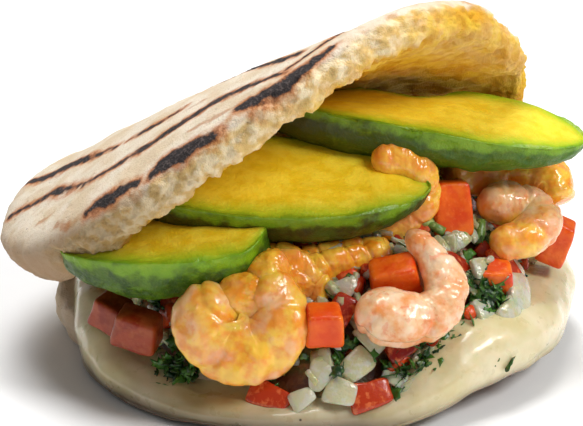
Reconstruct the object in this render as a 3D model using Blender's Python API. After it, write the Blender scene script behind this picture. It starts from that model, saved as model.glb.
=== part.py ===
"""A stuffed corn cake (arepa): one split corn cake, hinged along its back, opened over a slab of
soft white cheese, a heap of chopped salsa, curled shrimp, tomato chunks and avocado slices.

Named lengths are millimetres, and become metres when a mesh is made. X runs to the right, Y runs
from the open mouth to the hinge at the back, and Z is up.
"""

import math

import bmesh
import bpy
import numpy as np
from mathutils import Euler, Matrix, Vector

MM = 0.001
GAP = 0.45  # how far a cutter is grown, so that touching pieces keep about 0.3 mm between them
WELD = 0.005  # points nearer than this after a cut become one

# Corn cake: the upper half, which is bent open
LID_RADIUS = 62.0
LID_CENTRE_X = -11.3
LID_THICK = 9.0  # at the torn lip
LID_THICK_LEFT = 14.5  # at the uncut left rim
HINGE_Y = 47.0
HINGE_HEIGHT = (25.0, 38.0, 24.5)  # left, middle, right, as are the two slopes below
BACK_PITCH = (14.0, 69.0, 50.0)  # degrees, slope of the upper half at the hinge
LIP_PITCH = (-26.0, -15.0, 40.0)  # degrees, slope of the upper half at the lip
LID_RING = 42  # points round the edge, as are the other rings below
# share of the radius, height in halves of LID_THICK, share of the extra thickness at the left
LID_PROFILE = (
    (0.0, 1.0, 0.0),
    (0.2, 1.0, 0.0),
    (0.4, 1.0, 0.0),
    (0.6, 1.0, 0.0),
    (0.8, 1.0, 0.0),
    (0.93, 1.0, 0.0),
    (0.985, 0.6, 0.0),
    (1.0, -0.2, -0.3),
    (0.985, -0.8, -0.8),
    (0.94, -1.0, -1.0),
    (0.8, -1.0, -0.6),
    (0.6, -1.0, 0.0),
    (0.4, -1.0, 0.0),
    (0.2, -1.0, 0.0),
    (0.0, -1.0, 0.0),
)

# Corn cake: the lower half
BASE_CENTRE = (-6.0, 7.0)
BASE_RADIUS = 53.0
BASE_BULGE = 7.0  # extra radius on the left
BASE_BULGE_AT = (172.0, 26.0)  # degrees round from +X, and its spread, as for every bump below
BASE_THICK = 10.5
BASE_ROUND = 5.5  # rounding of the lower edge
BASE_TOP_ROUND = 3.0  # rounding of the upper edge
BASE_RING = 36
WALL_RISE = 12.0  # how far the uncut wall at the back rises above the lower half
WALL_AT = (105.0, 40.0)
WALL_THICK = 8.0
WALL_FOOT = 15.0  # how far in from the edge the foot of the wall lies

# Cheese slab
CHEESE_CENTRE = (1.5, 2.0)
CHEESE_RADIUS = 62.5
CHEESE_BACK_RADIUS = 44.0
CHEESE_TOP = 16.5
CHEESE_DIP = 9.0  # how far the rim sags in front, under the weight of the filling
CHEESE_RISE = 5.5  # how far its lower edge stays off the table on the right
CHEESE_BACK_RISE = 4.0  # and at the back
CHEESE_LOW = 0.8  # height of its lower edge in front
CHEESE_RIGHT_LIFT = 4.0  # how much higher its rim lies on the right
CHEESE_WAVES = ((0.9, 5, 0.6), (0.5, 9, 0.0))  # (height, waves round, start), as for the salsa
CHEESE_FLAT = 5.0  # how much its corner in front is cut back
CHEESE_FLAT_AT = (288.0, 38.0)
CHEESE_RING = 44

# Salsa heap
SALSA_CENTRE = (2.0, 1.5)
SALSA_RADIUS = 53.5
SALSA_BACK_CUT = 10.0
SALSA_TOP = 48.0
SALSA_EDGE = 17.0  # height of its edge at the sides
SALSA_DIP = 9.5  # how much lower the edge lies in front
SALSA_LOW = 3.0  # height of its underside
SALSA_WAVES = ((1.4, 7, 0.0), (1.0, 11, 1.0))
SALSA_BULGE = 5.0  # how much further it reaches at the front right
SALSA_BULGE_AT = (318.0, 28.0)
SALSA_BUMP = 1.2
SALSA_RING = 36

# Filling
AVOCADO_RING = 14
AVOCADO_STATIONS = 13
NOSE = (6.5, 0.35)  # length and relative width of the wedge left where a slice was cut short
FACE_SWELL = 0.08  # how far the cut face of an avocado slice swells, as a share of its depth
PIT_LENGTH = 0.25  # length of the pit's hollow, as a share of half the slice
SHRIMP_RING = 9
SHRIMP_STATIONS = 15
HEAD_END = 0.14  # share of a shrimp's length that its rounded head end takes
TAIL_END = 0.1
TOMATO_BEVEL = 0.8
TOMATO_TOP = 0.85  # width of a chunk's top, as a share of its bottom

# name: (length, half width, depth, share of the length kept, pit hollow, sag, twist in degrees
# at the left and right ends, place, turn in degrees)
AVOCADOS = {
    "avocado_right": (82.0, 14.5, 11.5, 1.0, 0.5, 3.0, (-12, 17), (22.5, -8.0, 62.3), (1.0, 5.5, -4.0)),
    "avocado_middle": (75.0, 15.0, 12.5, 1.0, 0.0, 1.0, (2, 7), (-12.0, -25.5, 51.3), (15.0, 2.5, 0.0)),
    "avocado_left": (60.0, 13.5, 14.5, 0.68, 0.0, 0.0, (-2, 20), (-29.0, -35.0, 42.6), (6.0, -8.5, 4.0)),
}

# name: (radius at the head end, radius at the tail end, points along the spine from head to tail)
SHRIMPS = {
    "shrimp_front_left": (
        7.4,
        5.4,
        (
            (-23, -43, 28),
            (-26, -47, 23),
            (-21, -49, 18.5),
            (-13, -49, 18),
            (-8.5, -47, 23),
            (-9.5, -44, 29),
            (-13, -41, 34),
        ),
    ),
    "shrimp_front_right": (
        6.2,
        2.5,
        ((8.5, -44, 28), (16, -47, 25.5), (24, -46, 25), (28.5, -43, 28), (28, -39, 33), (24.5, -36, 37), (20, -33, 41)),
    ),
    "shrimp_left": (4.8, 3.4, ((-16, -34, 32), (-8, -36, 34), (-2, -36, 31), (0, -37, 25))),
    "shrimp_middle": (5.2, 3.2, ((-4, -34, 31), (2, -33, 33), (9, -31, 34), (17, -29, 34))),
    "shrimp_centre": (
        4.0,
        3.0,
        ((12, -20, 54), (19, -20, 53), (24, -20, 49.5), (24.5, -21, 44), (20.5, -23, 40), (13, -25, 38)),
    ),
    "shrimp_right": (
        4.6,
        4.0,
        ((38, -14, 40), (45, -11, 40), (51, -11, 38.5), (53, -16, 36), (48, -20, 34), (40, -22, 33.5)),
    ),
    "shrimp_back": (5.2, 4.4, ((30, -5, 46), (39, -2, 44), (49, 1, 43.5), (56, -1, 42), (58, -5, 37))),
}

# name: (size, place, turn in degrees)
TOMATOES = {
    "tomato_front": ((9.0, 8.0, 8.5), (1.0, -48.0, 24.5), (15.0, 0.0, 5.0)),
    "tomato_inner": ((12.0, 8.0, 8.0), (17.0, -37.0, 31.5), (25.0, -12.0, 0.0)),
    "tomato_middle": ((9.5, 8.0, 13.0), (31.0, -17.0, 40.5), (-10.0, 0.0, 10.0)),
    "tomato_right": ((7.5, 9.0, 11.0), (57.5, -7.0, 28.5), (0.0, 20.0, -10.0)),
    "tomato_left": ((8.5, 8.0, 7.5), (-47.5, -33.0, 21.0), (10.0, 20.0, -25.0)),
    "tomato_front_left": ((11.0, 8.0, 8.5), (-41.0, -39.0, 19.5), (15.0, 12.0, -15.0)),
    "tomato_deep": ((8.5, 7.0, 6.0), (41.0, -26.0, 27.0), (20.0, 0.0, 0.0)),
}

# start of a node's name: (colour, roughness)
FINISHES = {
    "arepa": ((0.83, 0.76, 0.64), 0.75),
    "cheese": ((0.80, 0.77, 0.60), 0.35),
    "salsa": ((0.55, 0.50, 0.36), 0.35),
    "avocado": ((0.52, 0.56, 0.08), 0.35),
    "shrimp": ((0.90, 0.52, 0.25), 0.30),
    "tomato": ((0.80, 0.12, 0.04), 0.25),
}


def rounded(value):
    """Smooth step from 0 to 1 as value goes from 0 to 1."""
    value = np.clip(value, 0.0, 1.0)
    return value * value * (3.0 - 2.0 * value)


def between(values, share):
    """Quadratic curve from the first value to the last, pulled towards the middle one."""
    low, middle, high = values
    return (1 - share) ** 2 * low + 2 * share * (1 - share) * middle + share**2 * high


def around(count):
    """Angles of count points round a circle."""
    return np.linspace(0, 2 * math.pi, count, endpoint=False)


def bump(angle, place):
    """A bump of height 1 at place, which is (degrees round from +X, spread in degrees)."""
    middle, spread = np.radians(place)
    return np.exp(-(((angle - middle) / spread) ** 2))


def waves(angle, table):
    """The sum of sine waves round the outline, each (height, waves round, start)."""
    return sum(height * np.sin(count * angle + start) for height, count, start in table)


def link(name, mesh):
    made = bpy.data.objects.new(name, mesh)
    bpy.context.scene.collection.objects.link(made)
    return made


def closed_grid(name, rows):
    """A closed surface from rows[i, j], in millimetres: j runs round, and the two end rows are poles."""
    count, ring = rows.shape[:2]
    points = np.vstack([rows[1:-1].reshape(-1, 3), rows[0].mean(0), rows[-1].mean(0)])
    first, last = len(points) - 2, len(points) - 1
    end_row = (count - 3) * ring
    faces = []
    for j in range(ring):
        k = (j + 1) % ring
        faces.append((first, k, j))
        faces.append((last, end_row + j, end_row + k))
        for start in range(0, end_row, ring):
            faces.append((start + j, start + k, start + ring + k, start + ring + j))
    mesh = bpy.data.meshes.new(name)
    mesh.from_pydata((points * MM).tolist(), [], faces)
    mesh.shade_smooth()
    made = link(name, mesh)
    face_outwards(made)
    return made


def turned(name, centre, angle, profile):
    """A closed surface from (radius, height) pairs, each of which may change with the angle."""
    rows = []
    for radius, height in profile:
        x = centre[0] + radius * np.cos(angle)
        y = centre[1] + radius * np.sin(angle)
        rows.append(np.stack([x, y, height + 0 * angle], -1))
    return closed_grid(name, np.stack(rows))


def face_outwards(made):
    """Points every face out of the solid."""
    shape = bmesh.new()
    shape.from_mesh(made.data)
    bmesh.ops.recalc_face_normals(shape, faces=shape.faces)
    if shape.calc_volume(signed=True) < 0:
        bmesh.ops.reverse_faces(shape, faces=shape.faces)
    shape.to_mesh(made.data)
    shape.free()


def grown_copy(made, distance):
    """A copy of a solid whose points have moved outwards by distance millimetres."""
    shape = bmesh.new()
    shape.from_mesh(made.data)
    bmesh.ops.triangulate(shape, faces=shape.faces)
    shape.normal_update()
    moves = [vertex.normal * min(vertex.calc_shell_factor(), 1.6) for vertex in shape.verts]
    for vertex, move in zip(shape.verts, moves, strict=True):
        vertex.co += move * distance * MM
    mesh = bpy.data.meshes.new("grown")
    shape.to_mesh(mesh)
    shape.free()
    return link("grown", mesh)


def combine(made, other, operation):
    """Joins other to made, or cuts it away, and keeps the largest body."""
    modifier = made.modifiers.new("combine", "BOOLEAN")
    modifier.operation = operation
    modifier.object = other
    graph = bpy.context.evaluated_depsgraph_get()
    mesh = bpy.data.meshes.new_from_object(made.evaluated_get(graph))
    made.modifiers.clear()
    made.data = mesh
    keep_largest_body(made)


def keep_largest_body(made):
    """Deletes the crumbs that a cut leaves beside the main body."""
    shape = bmesh.new()
    shape.from_mesh(made.data)
    bmesh.ops.remove_doubles(shape, verts=shape.verts, dist=WELD * MM)
    bmesh.ops.dissolve_degenerate(shape, edges=shape.edges, dist=WELD * MM)
    left = set(shape.verts)
    bodies = []
    while left:
        waiting = [left.pop()]
        body = []
        while waiting:
            vertex = waiting.pop()
            body.append(vertex)
            for edge in vertex.link_edges:
                other = edge.other_vert(vertex)
                if other in left:
                    left.discard(other)
                    waiting.append(other)
        bodies.append(body)
    for body in sorted(bodies, key=len)[:-1]:
        bmesh.ops.delete(shape, geom=body, context="VERTS")
    bmesh.ops.triangulate(shape, faces=shape.faces)
    shape.to_mesh(made.data)
    shape.free()


def boxes_meet(one, other):
    low_one, high_one = corners(one)
    low_other, high_other = corners(other)
    return bool(np.all(low_one < high_other) and np.all(low_other < high_one))


def corners(made):
    points = np.array([vertex.co for vertex in made.data.vertices])
    return points.min(0), points.max(0)


def carve(pieces):
    """Cuts room for each piece, in its uncut shape, out of every later piece in the list."""
    cutters = [grown_copy(piece, GAP) for piece in pieces]
    for index, piece in enumerate(pieces):
        for cutter in cutters[:index]:
            if boxes_meet(piece, cutter):
                combine(piece, cutter, "DIFFERENCE")
    for cutter in cutters:
        bpy.data.objects.remove(cutter)


def bent(x, y, height):
    """Where a point of the flat upper half goes when it is opened.

    Each strip from the hinge to the lip leaves the hinge at BACK_PITCH and reaches the lip at
    LIP_PITCH, and its slope changes evenly on the way. The height stands on the bent surface.
    """

    def middle(x, y):
        share = (x + LID_RADIUS) / (2 * LID_RADIUS)
        start = np.radians(between(BACK_PITCH, share))
        turn = (np.radians(between(LIP_PITCH, share)) - start) / (HINGE_Y + LID_RADIUS)
        end = start + turn * (HINGE_Y - y)
        forward = (np.sin(end) - np.sin(start)) / turn
        up = (np.cos(start) - np.cos(end)) / turn
        return np.stack([x + LID_CENTRE_X, HINGE_Y - forward, between(HINGE_HEIGHT, share) + up], -1)

    step = 0.01
    place = middle(x, y)
    normal = np.cross(middle(x + step, y) - place, middle(x, y + step) - place)
    normal /= np.linalg.norm(normal, axis=-1, keepdims=True)
    return place + normal * height[..., None]


def upper_half():
    """A disc with a rounded edge, thicker at its uncut left rim, bent open."""
    angle = around(LID_RING)
    left = rounded((-np.cos(angle) - 0.45) / 0.5)
    extra = (LID_THICK_LEFT - LID_THICK) * left
    rows = []
    for share, level, more in LID_PROFILE:
        radius = share * LID_RADIUS
        height = 0.5 * LID_THICK * level + more * extra
        rows.append(bent(radius * np.cos(angle), radius * np.sin(angle), height))
    return closed_grid("arepa_bread", np.stack(rows))


def lower_half():
    """A disc with a flat bottom and rounded edges, and the uncut wall along its back."""
    angle = around(BASE_RING)
    outline = BASE_RADIUS + BASE_BULGE * bump(angle, BASE_BULGE_AT)
    wall = WALL_RISE * bump(angle, WALL_AT)
    profile = [(0 * outline, 0.0), (0.5 * outline, 0.0)]
    for turn in np.radians([0, 35, 65, 90]):
        radius = outline - BASE_ROUND * (1 - np.sin(turn))
        profile.append((radius, BASE_ROUND * (1 - np.cos(turn))))
    for turn in np.radians([0, 45, 90]):
        radius = outline - BASE_TOP_ROUND * (1 - np.cos(turn))
        profile.append((radius, BASE_THICK + wall - BASE_TOP_ROUND * (1 - np.sin(turn))))
    profile.append((outline - WALL_THICK, BASE_THICK + wall))
    profile.append((outline - WALL_FOOT, BASE_THICK + 0.25 * wall))
    profile += [(0.4 * outline, BASE_THICK), (0 * outline, BASE_THICK)]
    return turned("lower_half", BASE_CENTRE, angle, profile)


def cheese_slab():
    """A slab that lies on the lower half and droops over its rim.

    Its outline is round at the mouth and short at the back, inside the pocket. The rim's cross
    section is a quarter ellipse down to the lower edge, which lies near the table in front.
    """
    angle = around(CHEESE_RING)
    back = rounded((np.sin(angle) - 0.25) / 0.6)
    outline = CHEESE_RADIUS + (CHEESE_BACK_RADIUS - CHEESE_RADIUS) * back
    outline += waves(angle, CHEESE_WAVES) * (1 - back) - CHEESE_FLAT * bump(angle, CHEESE_FLAT_AT)
    front = rounded(0.1 - np.sin(angle))
    right = rounded((np.cos(angle - math.radians(-12)) - 0.35) / 0.5)
    low = CHEESE_LOW + CHEESE_RISE * right + CHEESE_BACK_RISE * back + 0.4 * np.sin(6 * angle)
    high = CHEESE_TOP - CHEESE_DIP * front**2 * (1 - right) + CHEESE_RIGHT_LIFT * right
    profile = [(0 * outline, CHEESE_TOP), (0.4 * outline, CHEESE_TOP)]
    profile.append((0.7 * outline, 0.25 * CHEESE_TOP + 0.75 * high + 1.0))
    middle = 0.5 * (low + high)
    for turn in np.radians([0, 25, 50, 70, 90]):
        profile.append((outline * (0.86 + 0.14 * np.sin(turn)), middle + (high - middle) * np.cos(turn)))
    for turn in np.radians([40, 90]):
        profile.append((outline * (0.93 + 0.07 * np.cos(turn)), middle - (middle - low) * np.sin(turn)))
    profile += [(0.5 * outline, low), (0 * outline, low)]
    return turned("cheese_slab", CHEESE_CENTRE, angle, profile)


def salsa_heap():
    """The heap of chopped salsa: a steep mound, with an uneven edge, on the slab."""
    angle = around(SALSA_RING)
    back = rounded((np.sin(angle) - 0.1) / 0.6)
    outline = SALSA_RADIUS - SALSA_BACK_CUT * back + waves(angle, SALSA_WAVES)
    outline += SALSA_BULGE * bump(angle, SALSA_BULGE_AT)
    front = rounded(0.1 - np.sin(angle))
    edge = SALSA_EDGE - SALSA_DIP * front**2
    profile = []
    for share in (0.0, 0.3, 0.5, 0.65, 0.78, 0.88, 0.95, 1.0):
        bumps = SALSA_BUMP * np.sin(9 * angle + 8 * share) * share
        profile.append((share * outline, edge + (SALSA_TOP - edge) * (1 - share**2.4) + bumps))
    profile += [(0.9 * outline, SALSA_LOW), (0.5 * outline, SALSA_LOW), (0 * outline, SALSA_LOW)]
    return turned("salsa_heap", SALSA_CENTRE, angle, profile)


def avocado(name, length, half_width, depth, kept, hollow, sag, twist, place, turn):
    """A lengthwise slice: a nearly flat cut face on top, a full rounded side below, pointed ends.

    A kept share below 1 cuts the slice short at its right end, and leaves a blunt wedge there.
    """
    ring = around(AVOCADO_RING)
    reach = np.linspace(-1, 2 * kept - 1, AVOCADO_STATIONS)
    swell = np.maximum(1 - reach**2, 0.0) ** 0.6
    deep = swell**0.8
    if kept < 1:
        nose_length, nose_width = NOSE
        tip = reach[-1] + nose_length / (0.5 * length)
        reach = np.append(reach, [tip, tip])
        swell = np.append(swell, [nose_width * swell[-1], 0.0])
        deep = np.append(deep, [0.9 * deep[-1], 0.0])
    above = np.sin(ring) > 0
    wide = np.where(above, np.cos(ring), np.sign(np.cos(ring)) * np.abs(np.cos(ring)) ** 0.6)
    side = np.abs(np.sin(ring)) ** 0.7
    rows = []
    for along, size, below in zip(reach, swell, deep, strict=True):
        dent = 1 - hollow * math.exp(-((along / PIT_LENGTH) ** 2))
        across = half_width * size * np.where(wide > 0, wide * dent, wide)
        height = np.where(above, FACE_SWELL * depth * size * side, -depth * below * side)
        if kept < 1 and size == 0.0:
            height = height - 0.4 * depth
        angle = math.radians(np.interp(along, (-1, 1), twist))
        y = across * math.cos(angle) - height * math.sin(angle)
        z = across * math.sin(angle) + height * math.cos(angle)
        rows.append(np.stack([0.5 * length * along + 0 * ring, y, z - sag * along**2], -1))
    made = closed_grid(name, np.stack(rows))
    put(made, place, turn)
    return made


def smooth_path(points, count):
    """Count points along the smooth (Catmull-Rom) curve through the given points."""
    points = np.array(points, float)
    ends = np.vstack([2 * points[0] - points[1], points, 2 * points[-1] - points[-2]])
    at = np.linspace(0, len(points) - 1, count)
    index = np.minimum(at.astype(int), len(points) - 2)
    t = (at - index)[:, None]
    a, b, c, d = (ends[index + k] for k in range(4))
    cubic = (3 * b - a - 3 * c + d) * t**3
    square = (2 * a - 5 * b + 4 * c - d) * t**2
    return 0.5 * (2 * b + (c - a) * t + square + cubic)


def shrimp(name, head_radius, tail_radius, spine):
    """A peeled shrimp: a tube with rounded ends that tapers from head to tail along its spine."""
    path = smooth_path(spine, SHRIMP_STATIONS)
    t = np.linspace(0, 1, len(path))
    ahead = np.gradient(path, axis=0)
    ahead /= np.linalg.norm(ahead, axis=1, keepdims=True)
    across = np.cross(path[-1] - path[len(path) // 2], path[0] - path[len(path) // 2])
    across = across / np.linalg.norm(across)
    out = np.cross(ahead, across)
    out /= np.linalg.norm(out, axis=1, keepdims=True)
    side = np.cross(out, ahead)
    head = np.sqrt(1 - (1 - np.clip(t / HEAD_END, 0, 1)) ** 2)
    tail = np.sqrt(1 - (1 - np.clip((1 - t) / TAIL_END, 0, 1)) ** 2)
    radius = (head_radius + (tail_radius - head_radius) * t**1.3) * head * tail
    ring = around(SHRIMP_RING)
    wheel = np.cos(ring)[None, :, None] * out[:, None] + np.sin(ring)[None, :, None] * side[:, None]
    return closed_grid(name, path[:, None] + radius[:, None, None] * wheel)


def tomato(name, size, place, turn):
    """A chopped chunk: a bevelled block, narrower at the top."""
    shape = bmesh.new()
    bmesh.ops.create_cube(shape, size=1.0)
    for vertex in shape.verts:
        narrow = TOMATO_TOP if vertex.co.z > 0 else 1.0
        x, y, z = (value * length * MM for value, length in zip(vertex.co, size, strict=True))
        vertex.co = (x * narrow, y * narrow, z)
    bmesh.ops.bevel(shape, geom=shape.edges[:], offset=TOMATO_BEVEL * MM, segments=1, affect="EDGES")
    mesh = bpy.data.meshes.new(name)
    shape.to_mesh(mesh)
    shape.free()
    made = link(name, mesh)
    face_outwards(made)
    put(made, place, turn)
    return made


def put(made, place, turn):
    """Turns a mesh about its own origin, then moves it to its place."""
    rotation = Euler([math.radians(angle) for angle in turn], "XYZ").to_matrix().to_4x4()
    made.data.transform(Matrix.Translation(Vector(place) * MM) @ rotation)


def paint(made, colour, roughness):
    """Gives a piece its own plain material."""
    material = bpy.data.materials.new(made.name)
    material.use_nodes = True
    shader = material.node_tree.nodes["Principled BSDF"]
    shader.inputs["Base Color"].default_value = (*colour, 1.0)
    shader.inputs["Roughness"].default_value = roughness
    made.data.materials.clear()
    made.data.materials.append(material)


def centre_on_table(pieces):
    """Moves all pieces so that their common box stands centred on the origin."""
    boxes = [corners(piece) for piece in pieces]
    low = np.min([box[0] for box in boxes], axis=0)
    high = np.max([box[1] for box in boxes], axis=0)
    middle = 0.5 * (low + high)
    for piece in pieces:
        piece.data.transform(Matrix.Translation((-middle[0], -middle[1], -low[2])))


def main():
    for old in list(bpy.data.objects):
        bpy.data.objects.remove(old)
    bread = upper_half()
    lower = lower_half()
    combine(bread, lower, "UNION")
    bpy.data.objects.remove(lower)
    pieces = [bread]
    pieces += [avocado(name, *values) for name, values in AVOCADOS.items()]
    pieces += [shrimp(name, *values) for name, values in SHRIMPS.items()]
    pieces += [tomato(name, *values) for name, values in TOMATOES.items()]
    pieces += [cheese_slab(), salsa_heap()]
    carve(pieces)
    centre_on_table(pieces)
    for piece in pieces:
        paint(piece, *FINISHES[piece.name.split("_")[0]])


main()
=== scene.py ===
"""Looks of a stuffed corn cake: a split, grilled corn cake opened over cheese, chopped salsa,
shrimp, tomato chunks and avocado slices.

Lengths are millimetres in the cake's own layout and become metres when a mesh is made. X runs to
the right, Y from the open mouth to the hinge at the back, Z is up. Every shape is worked out on a
grid of two parameters, then roughened with noise along its own normals.
"""

import math

import bpy
import numpy as np
from mathutils import Euler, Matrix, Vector


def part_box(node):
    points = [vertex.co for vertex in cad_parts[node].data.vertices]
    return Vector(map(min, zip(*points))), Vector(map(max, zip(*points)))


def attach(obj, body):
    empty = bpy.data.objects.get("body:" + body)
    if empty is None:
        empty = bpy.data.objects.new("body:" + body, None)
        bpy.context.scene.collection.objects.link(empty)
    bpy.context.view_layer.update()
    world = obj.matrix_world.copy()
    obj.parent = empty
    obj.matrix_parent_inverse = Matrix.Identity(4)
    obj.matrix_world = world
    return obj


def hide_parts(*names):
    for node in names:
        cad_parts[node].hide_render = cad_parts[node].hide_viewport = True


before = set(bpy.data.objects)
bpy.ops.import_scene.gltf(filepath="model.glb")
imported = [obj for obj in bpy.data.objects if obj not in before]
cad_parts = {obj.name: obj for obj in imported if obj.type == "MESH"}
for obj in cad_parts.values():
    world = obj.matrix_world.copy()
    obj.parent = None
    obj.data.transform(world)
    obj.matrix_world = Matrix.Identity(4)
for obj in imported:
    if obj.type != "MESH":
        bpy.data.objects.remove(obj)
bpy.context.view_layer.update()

MM = 0.001

# Corn cake, upper half. Values in threes are for its left, middle and right
LID_RADIUS = 62.0
LID_CENTRE_X = -11.3
LID_THICK = 9.0  # at the torn lip
LID_THICK_LEFT = 14.5  # at the uncut left rim
HINGE_Y = 47.0
HINGE_HEIGHT = (25.0, 38.0, 24.5)
BACK_PITCH = (14.0, 69.0, 50.0)  # degrees, slope at the hinge
LIP_PITCH = (-26.0, -15.0, 40.0)  # degrees, slope at the lip
LID_RING = 42  # points round the edge of the solid, as BASE_RING
# share of the radius, height in halves of LID_THICK, share of the extra thickness at the left
LID_PROFILE = (
    *((share, 1.0, 0.0) for share in (0.0, 0.2, 0.4, 0.6, 0.8, 0.93)),
    (0.985, 0.6, 0.0),
    (1.0, -0.2, -0.3),
    (0.985, -0.8, -0.8),
    (0.94, -1.0, -1.0),
    (0.8, -1.0, -0.6),
    *((share, -1.0, 0.0) for share in (0.6, 0.4, 0.2, 0.0)),
)
# Knots of that profile, counted from the top's middle, and the torn lip round the front
EDGE_KNOT = 5.5  # where the crust turns down
CRUMB_KNOT = 5.75  # where the torn crumb starts
LIP_KNOT = 8.9  # the lowest part of the lip
UNDERSIDE_KNOT = 9.3
TORN_MIDDLE = -62.0  # degrees
TORN_HALF = 84.0  # degrees to either side

# Corn cake, lower half. A place is (degrees round from +X, spread in degrees)
BASE_CENTRE = (-6.0, 7.0)
BASE_RADIUS = 53.0
BASE_BULGE = 7.0
BASE_BULGE_AT = (172.0, 26.0)
BASE_THICK = 10.5
BASE_ROUND = 5.5  # rounding of the lower edge
BASE_TOP_ROUND = 3.0
BASE_RING = 36
WALL_RISE = 12.0
WALL_AT = (105.0, 40.0)
WALL_THICK = 8.0
WALL_FOOT = 15.0

# Cheese slab
CHEESE_CENTRE = (1.5, 2.0)
CHEESE_RADIUS = 62.5
CHEESE_BACK_RADIUS = 44.0
CHEESE_TOP = 16.5
CHEESE_DIP = 9.0  # how far the rim sags in front
CHEESE_RISE = 5.5  # how far its lower edge stays off the table on the right
CHEESE_BACK_RISE = 4.0  # and at the back
CHEESE_LOW = 0.8
CHEESE_RIGHT_LIFT = 4.0
CHEESE_WAVES = ((0.9, 5, 0.6), (0.5, 9, 0.0))  # (height, waves round, start)
CHEESE_FLAT = 5.0  # how much its corner in front is cut back
CHEESE_FLAT_AT = (288.0, 38.0)

# Salsa heap
SALSA_CENTRE = (2.0, 1.5)
SALSA_RADIUS = 53.5
SALSA_BACK_CUT = 10.0
SALSA_TOP = 48.0
SALSA_EDGE = 17.0
SALSA_DIP = 9.5
SALSA_WAVES = ((1.4, 7, 0.0), (1.0, 11, 1.0))
SALSA_BULGE = 3.5
SALSA_BULGE_AT = (318.0, 28.0)
SALSA_ROUND = (-195, 80)  # degrees between which loose pieces show

# Grill marks on the flat upper half: x, y and half width of the mark at each point
GRILL_MARKS = (
    ((-61, 15, 0.3), (-55, 7, 0.9), (-49, 0, 1.3), (-41, -10, 0.9), (-33, -19, 0.2)),
    ((-30, -21, 0.2), (-24, -25, 0.8), (-17, -27, 0.2)),
    ((-60, -6, 0.1), (-48, -17, 0.5), (-38, -31, 0.3), (-34, -34, 0.5), (-25, -38, 0.9), (-18, -39, 1.2)),
    ((-18, -39, 1.2), (-9.5, -41, 1.2), (-2, -47, 0.8), (6, -56, 0.2)),
    ((-37, -46, 0.3), (-34, -47.5, 1.0), (-30, -50, 1.2), (-26, -53, 0.2)),
    ((-22, -54.5, 0.9), (-20.5, -54.5, 1.7), (-15, -57.5, 1.5), (-8, -60, 0.5)),
    ((-4, -57.5, 0.5), (-1, -59, 1.0), (4, -60, 0.5)),
    ((-14, -10, 0.2), (-5, -18.5, 0.8), (1, -28, 1.1), (6, -39, 1.4), (9, -45, 0.4)),
    ((6, -54, 0.2), (10, -52, 0.7), (14, -50, 0.6), (20, -40, 0.2)),
    ((-2, -61, 0.4), (6, -60.5, 1.5), (11, -59, 1.0), (16, -57, 0.2)),
    ((-44, 34, 0.3), (-30, 18, 1.3), (-14, 2, 1.0), (2, -14, 0.3)),
    ((-22, 44, 0.3), (-8, 30, 1.4), (8, 14, 1.1), (24, -4, 0.3)),
    ((2, 50, 0.3), (16, 36, 1.2), (32, 18, 1.3), (44, 0, 0.3)),
)
# Faint brown streaks between them
BROWN_STREAKS = (
    ((-56, -10, 0.3), (-52, -12, 0.5)),
    ((-15, -48.5, 0.2), (-9, -53, 0.7), (-3, -57, 0.3)),
    ((18, -32, 0.3), (24, -27, 0.7)),
    ((-45, -38, 0.5), (-42, -43, 0.6)),
    ((-20, -30, 0.2), (-12, -33, 0.5)),
    ((-50, -28, 0.3), (-47, -30, 0.4)),
)

# name: (length, half width, depth, share kept, pit hollow, sag, twist in degrees at the two ends,
# place, turn in degrees)
AVOCADOS = {
    "avocado_right": (82, 14.5, 11.5, 1.0, 0.5, 3.0, (-12, 17), (22.5, -8.0, 62.3), (1.0, 5.5, -4.0)),
    "avocado_middle": (75, 15.0, 12.5, 1.0, 0.0, 1.0, (2, 7), (-12.0, -25.5, 51.3), (15.0, 2.5, 0.0)),
    "avocado_left": (60, 13.5, 14.5, 0.68, 0.0, 0.0, (-2, 20), (-29.0, -35.0, 42.6), (6.0, -8.5, 4.0)),
}
# name: the gold of its cut face and the dark green of its side
AVOCADO_COLOURS = {
    "avocado_right": ((252, 222, 48), (62, 108, 10)),
    "avocado_middle": ((248, 218, 36), (50, 66, 6)),
    "avocado_left": ((244, 208, 36), (46, 84, 6)),
}
NOSE = (6.5, 0.34)  # length and relative width of the wedge left where a slice was cut short
SKIN = 1.1  # how deep the green of the side reaches below the peeled surface

# name: painted shade, dark and brown, on its side at the left end, past the middle and at the right end
PAINTED_SIDE_SHADE = {
    "avocado_right": (1.0, 0.35, 0.0),
    "avocado_middle": (0.9, 0.75, 0.35),
    "avocado_left": (0.3, 0.0, 0.0),
}

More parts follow.
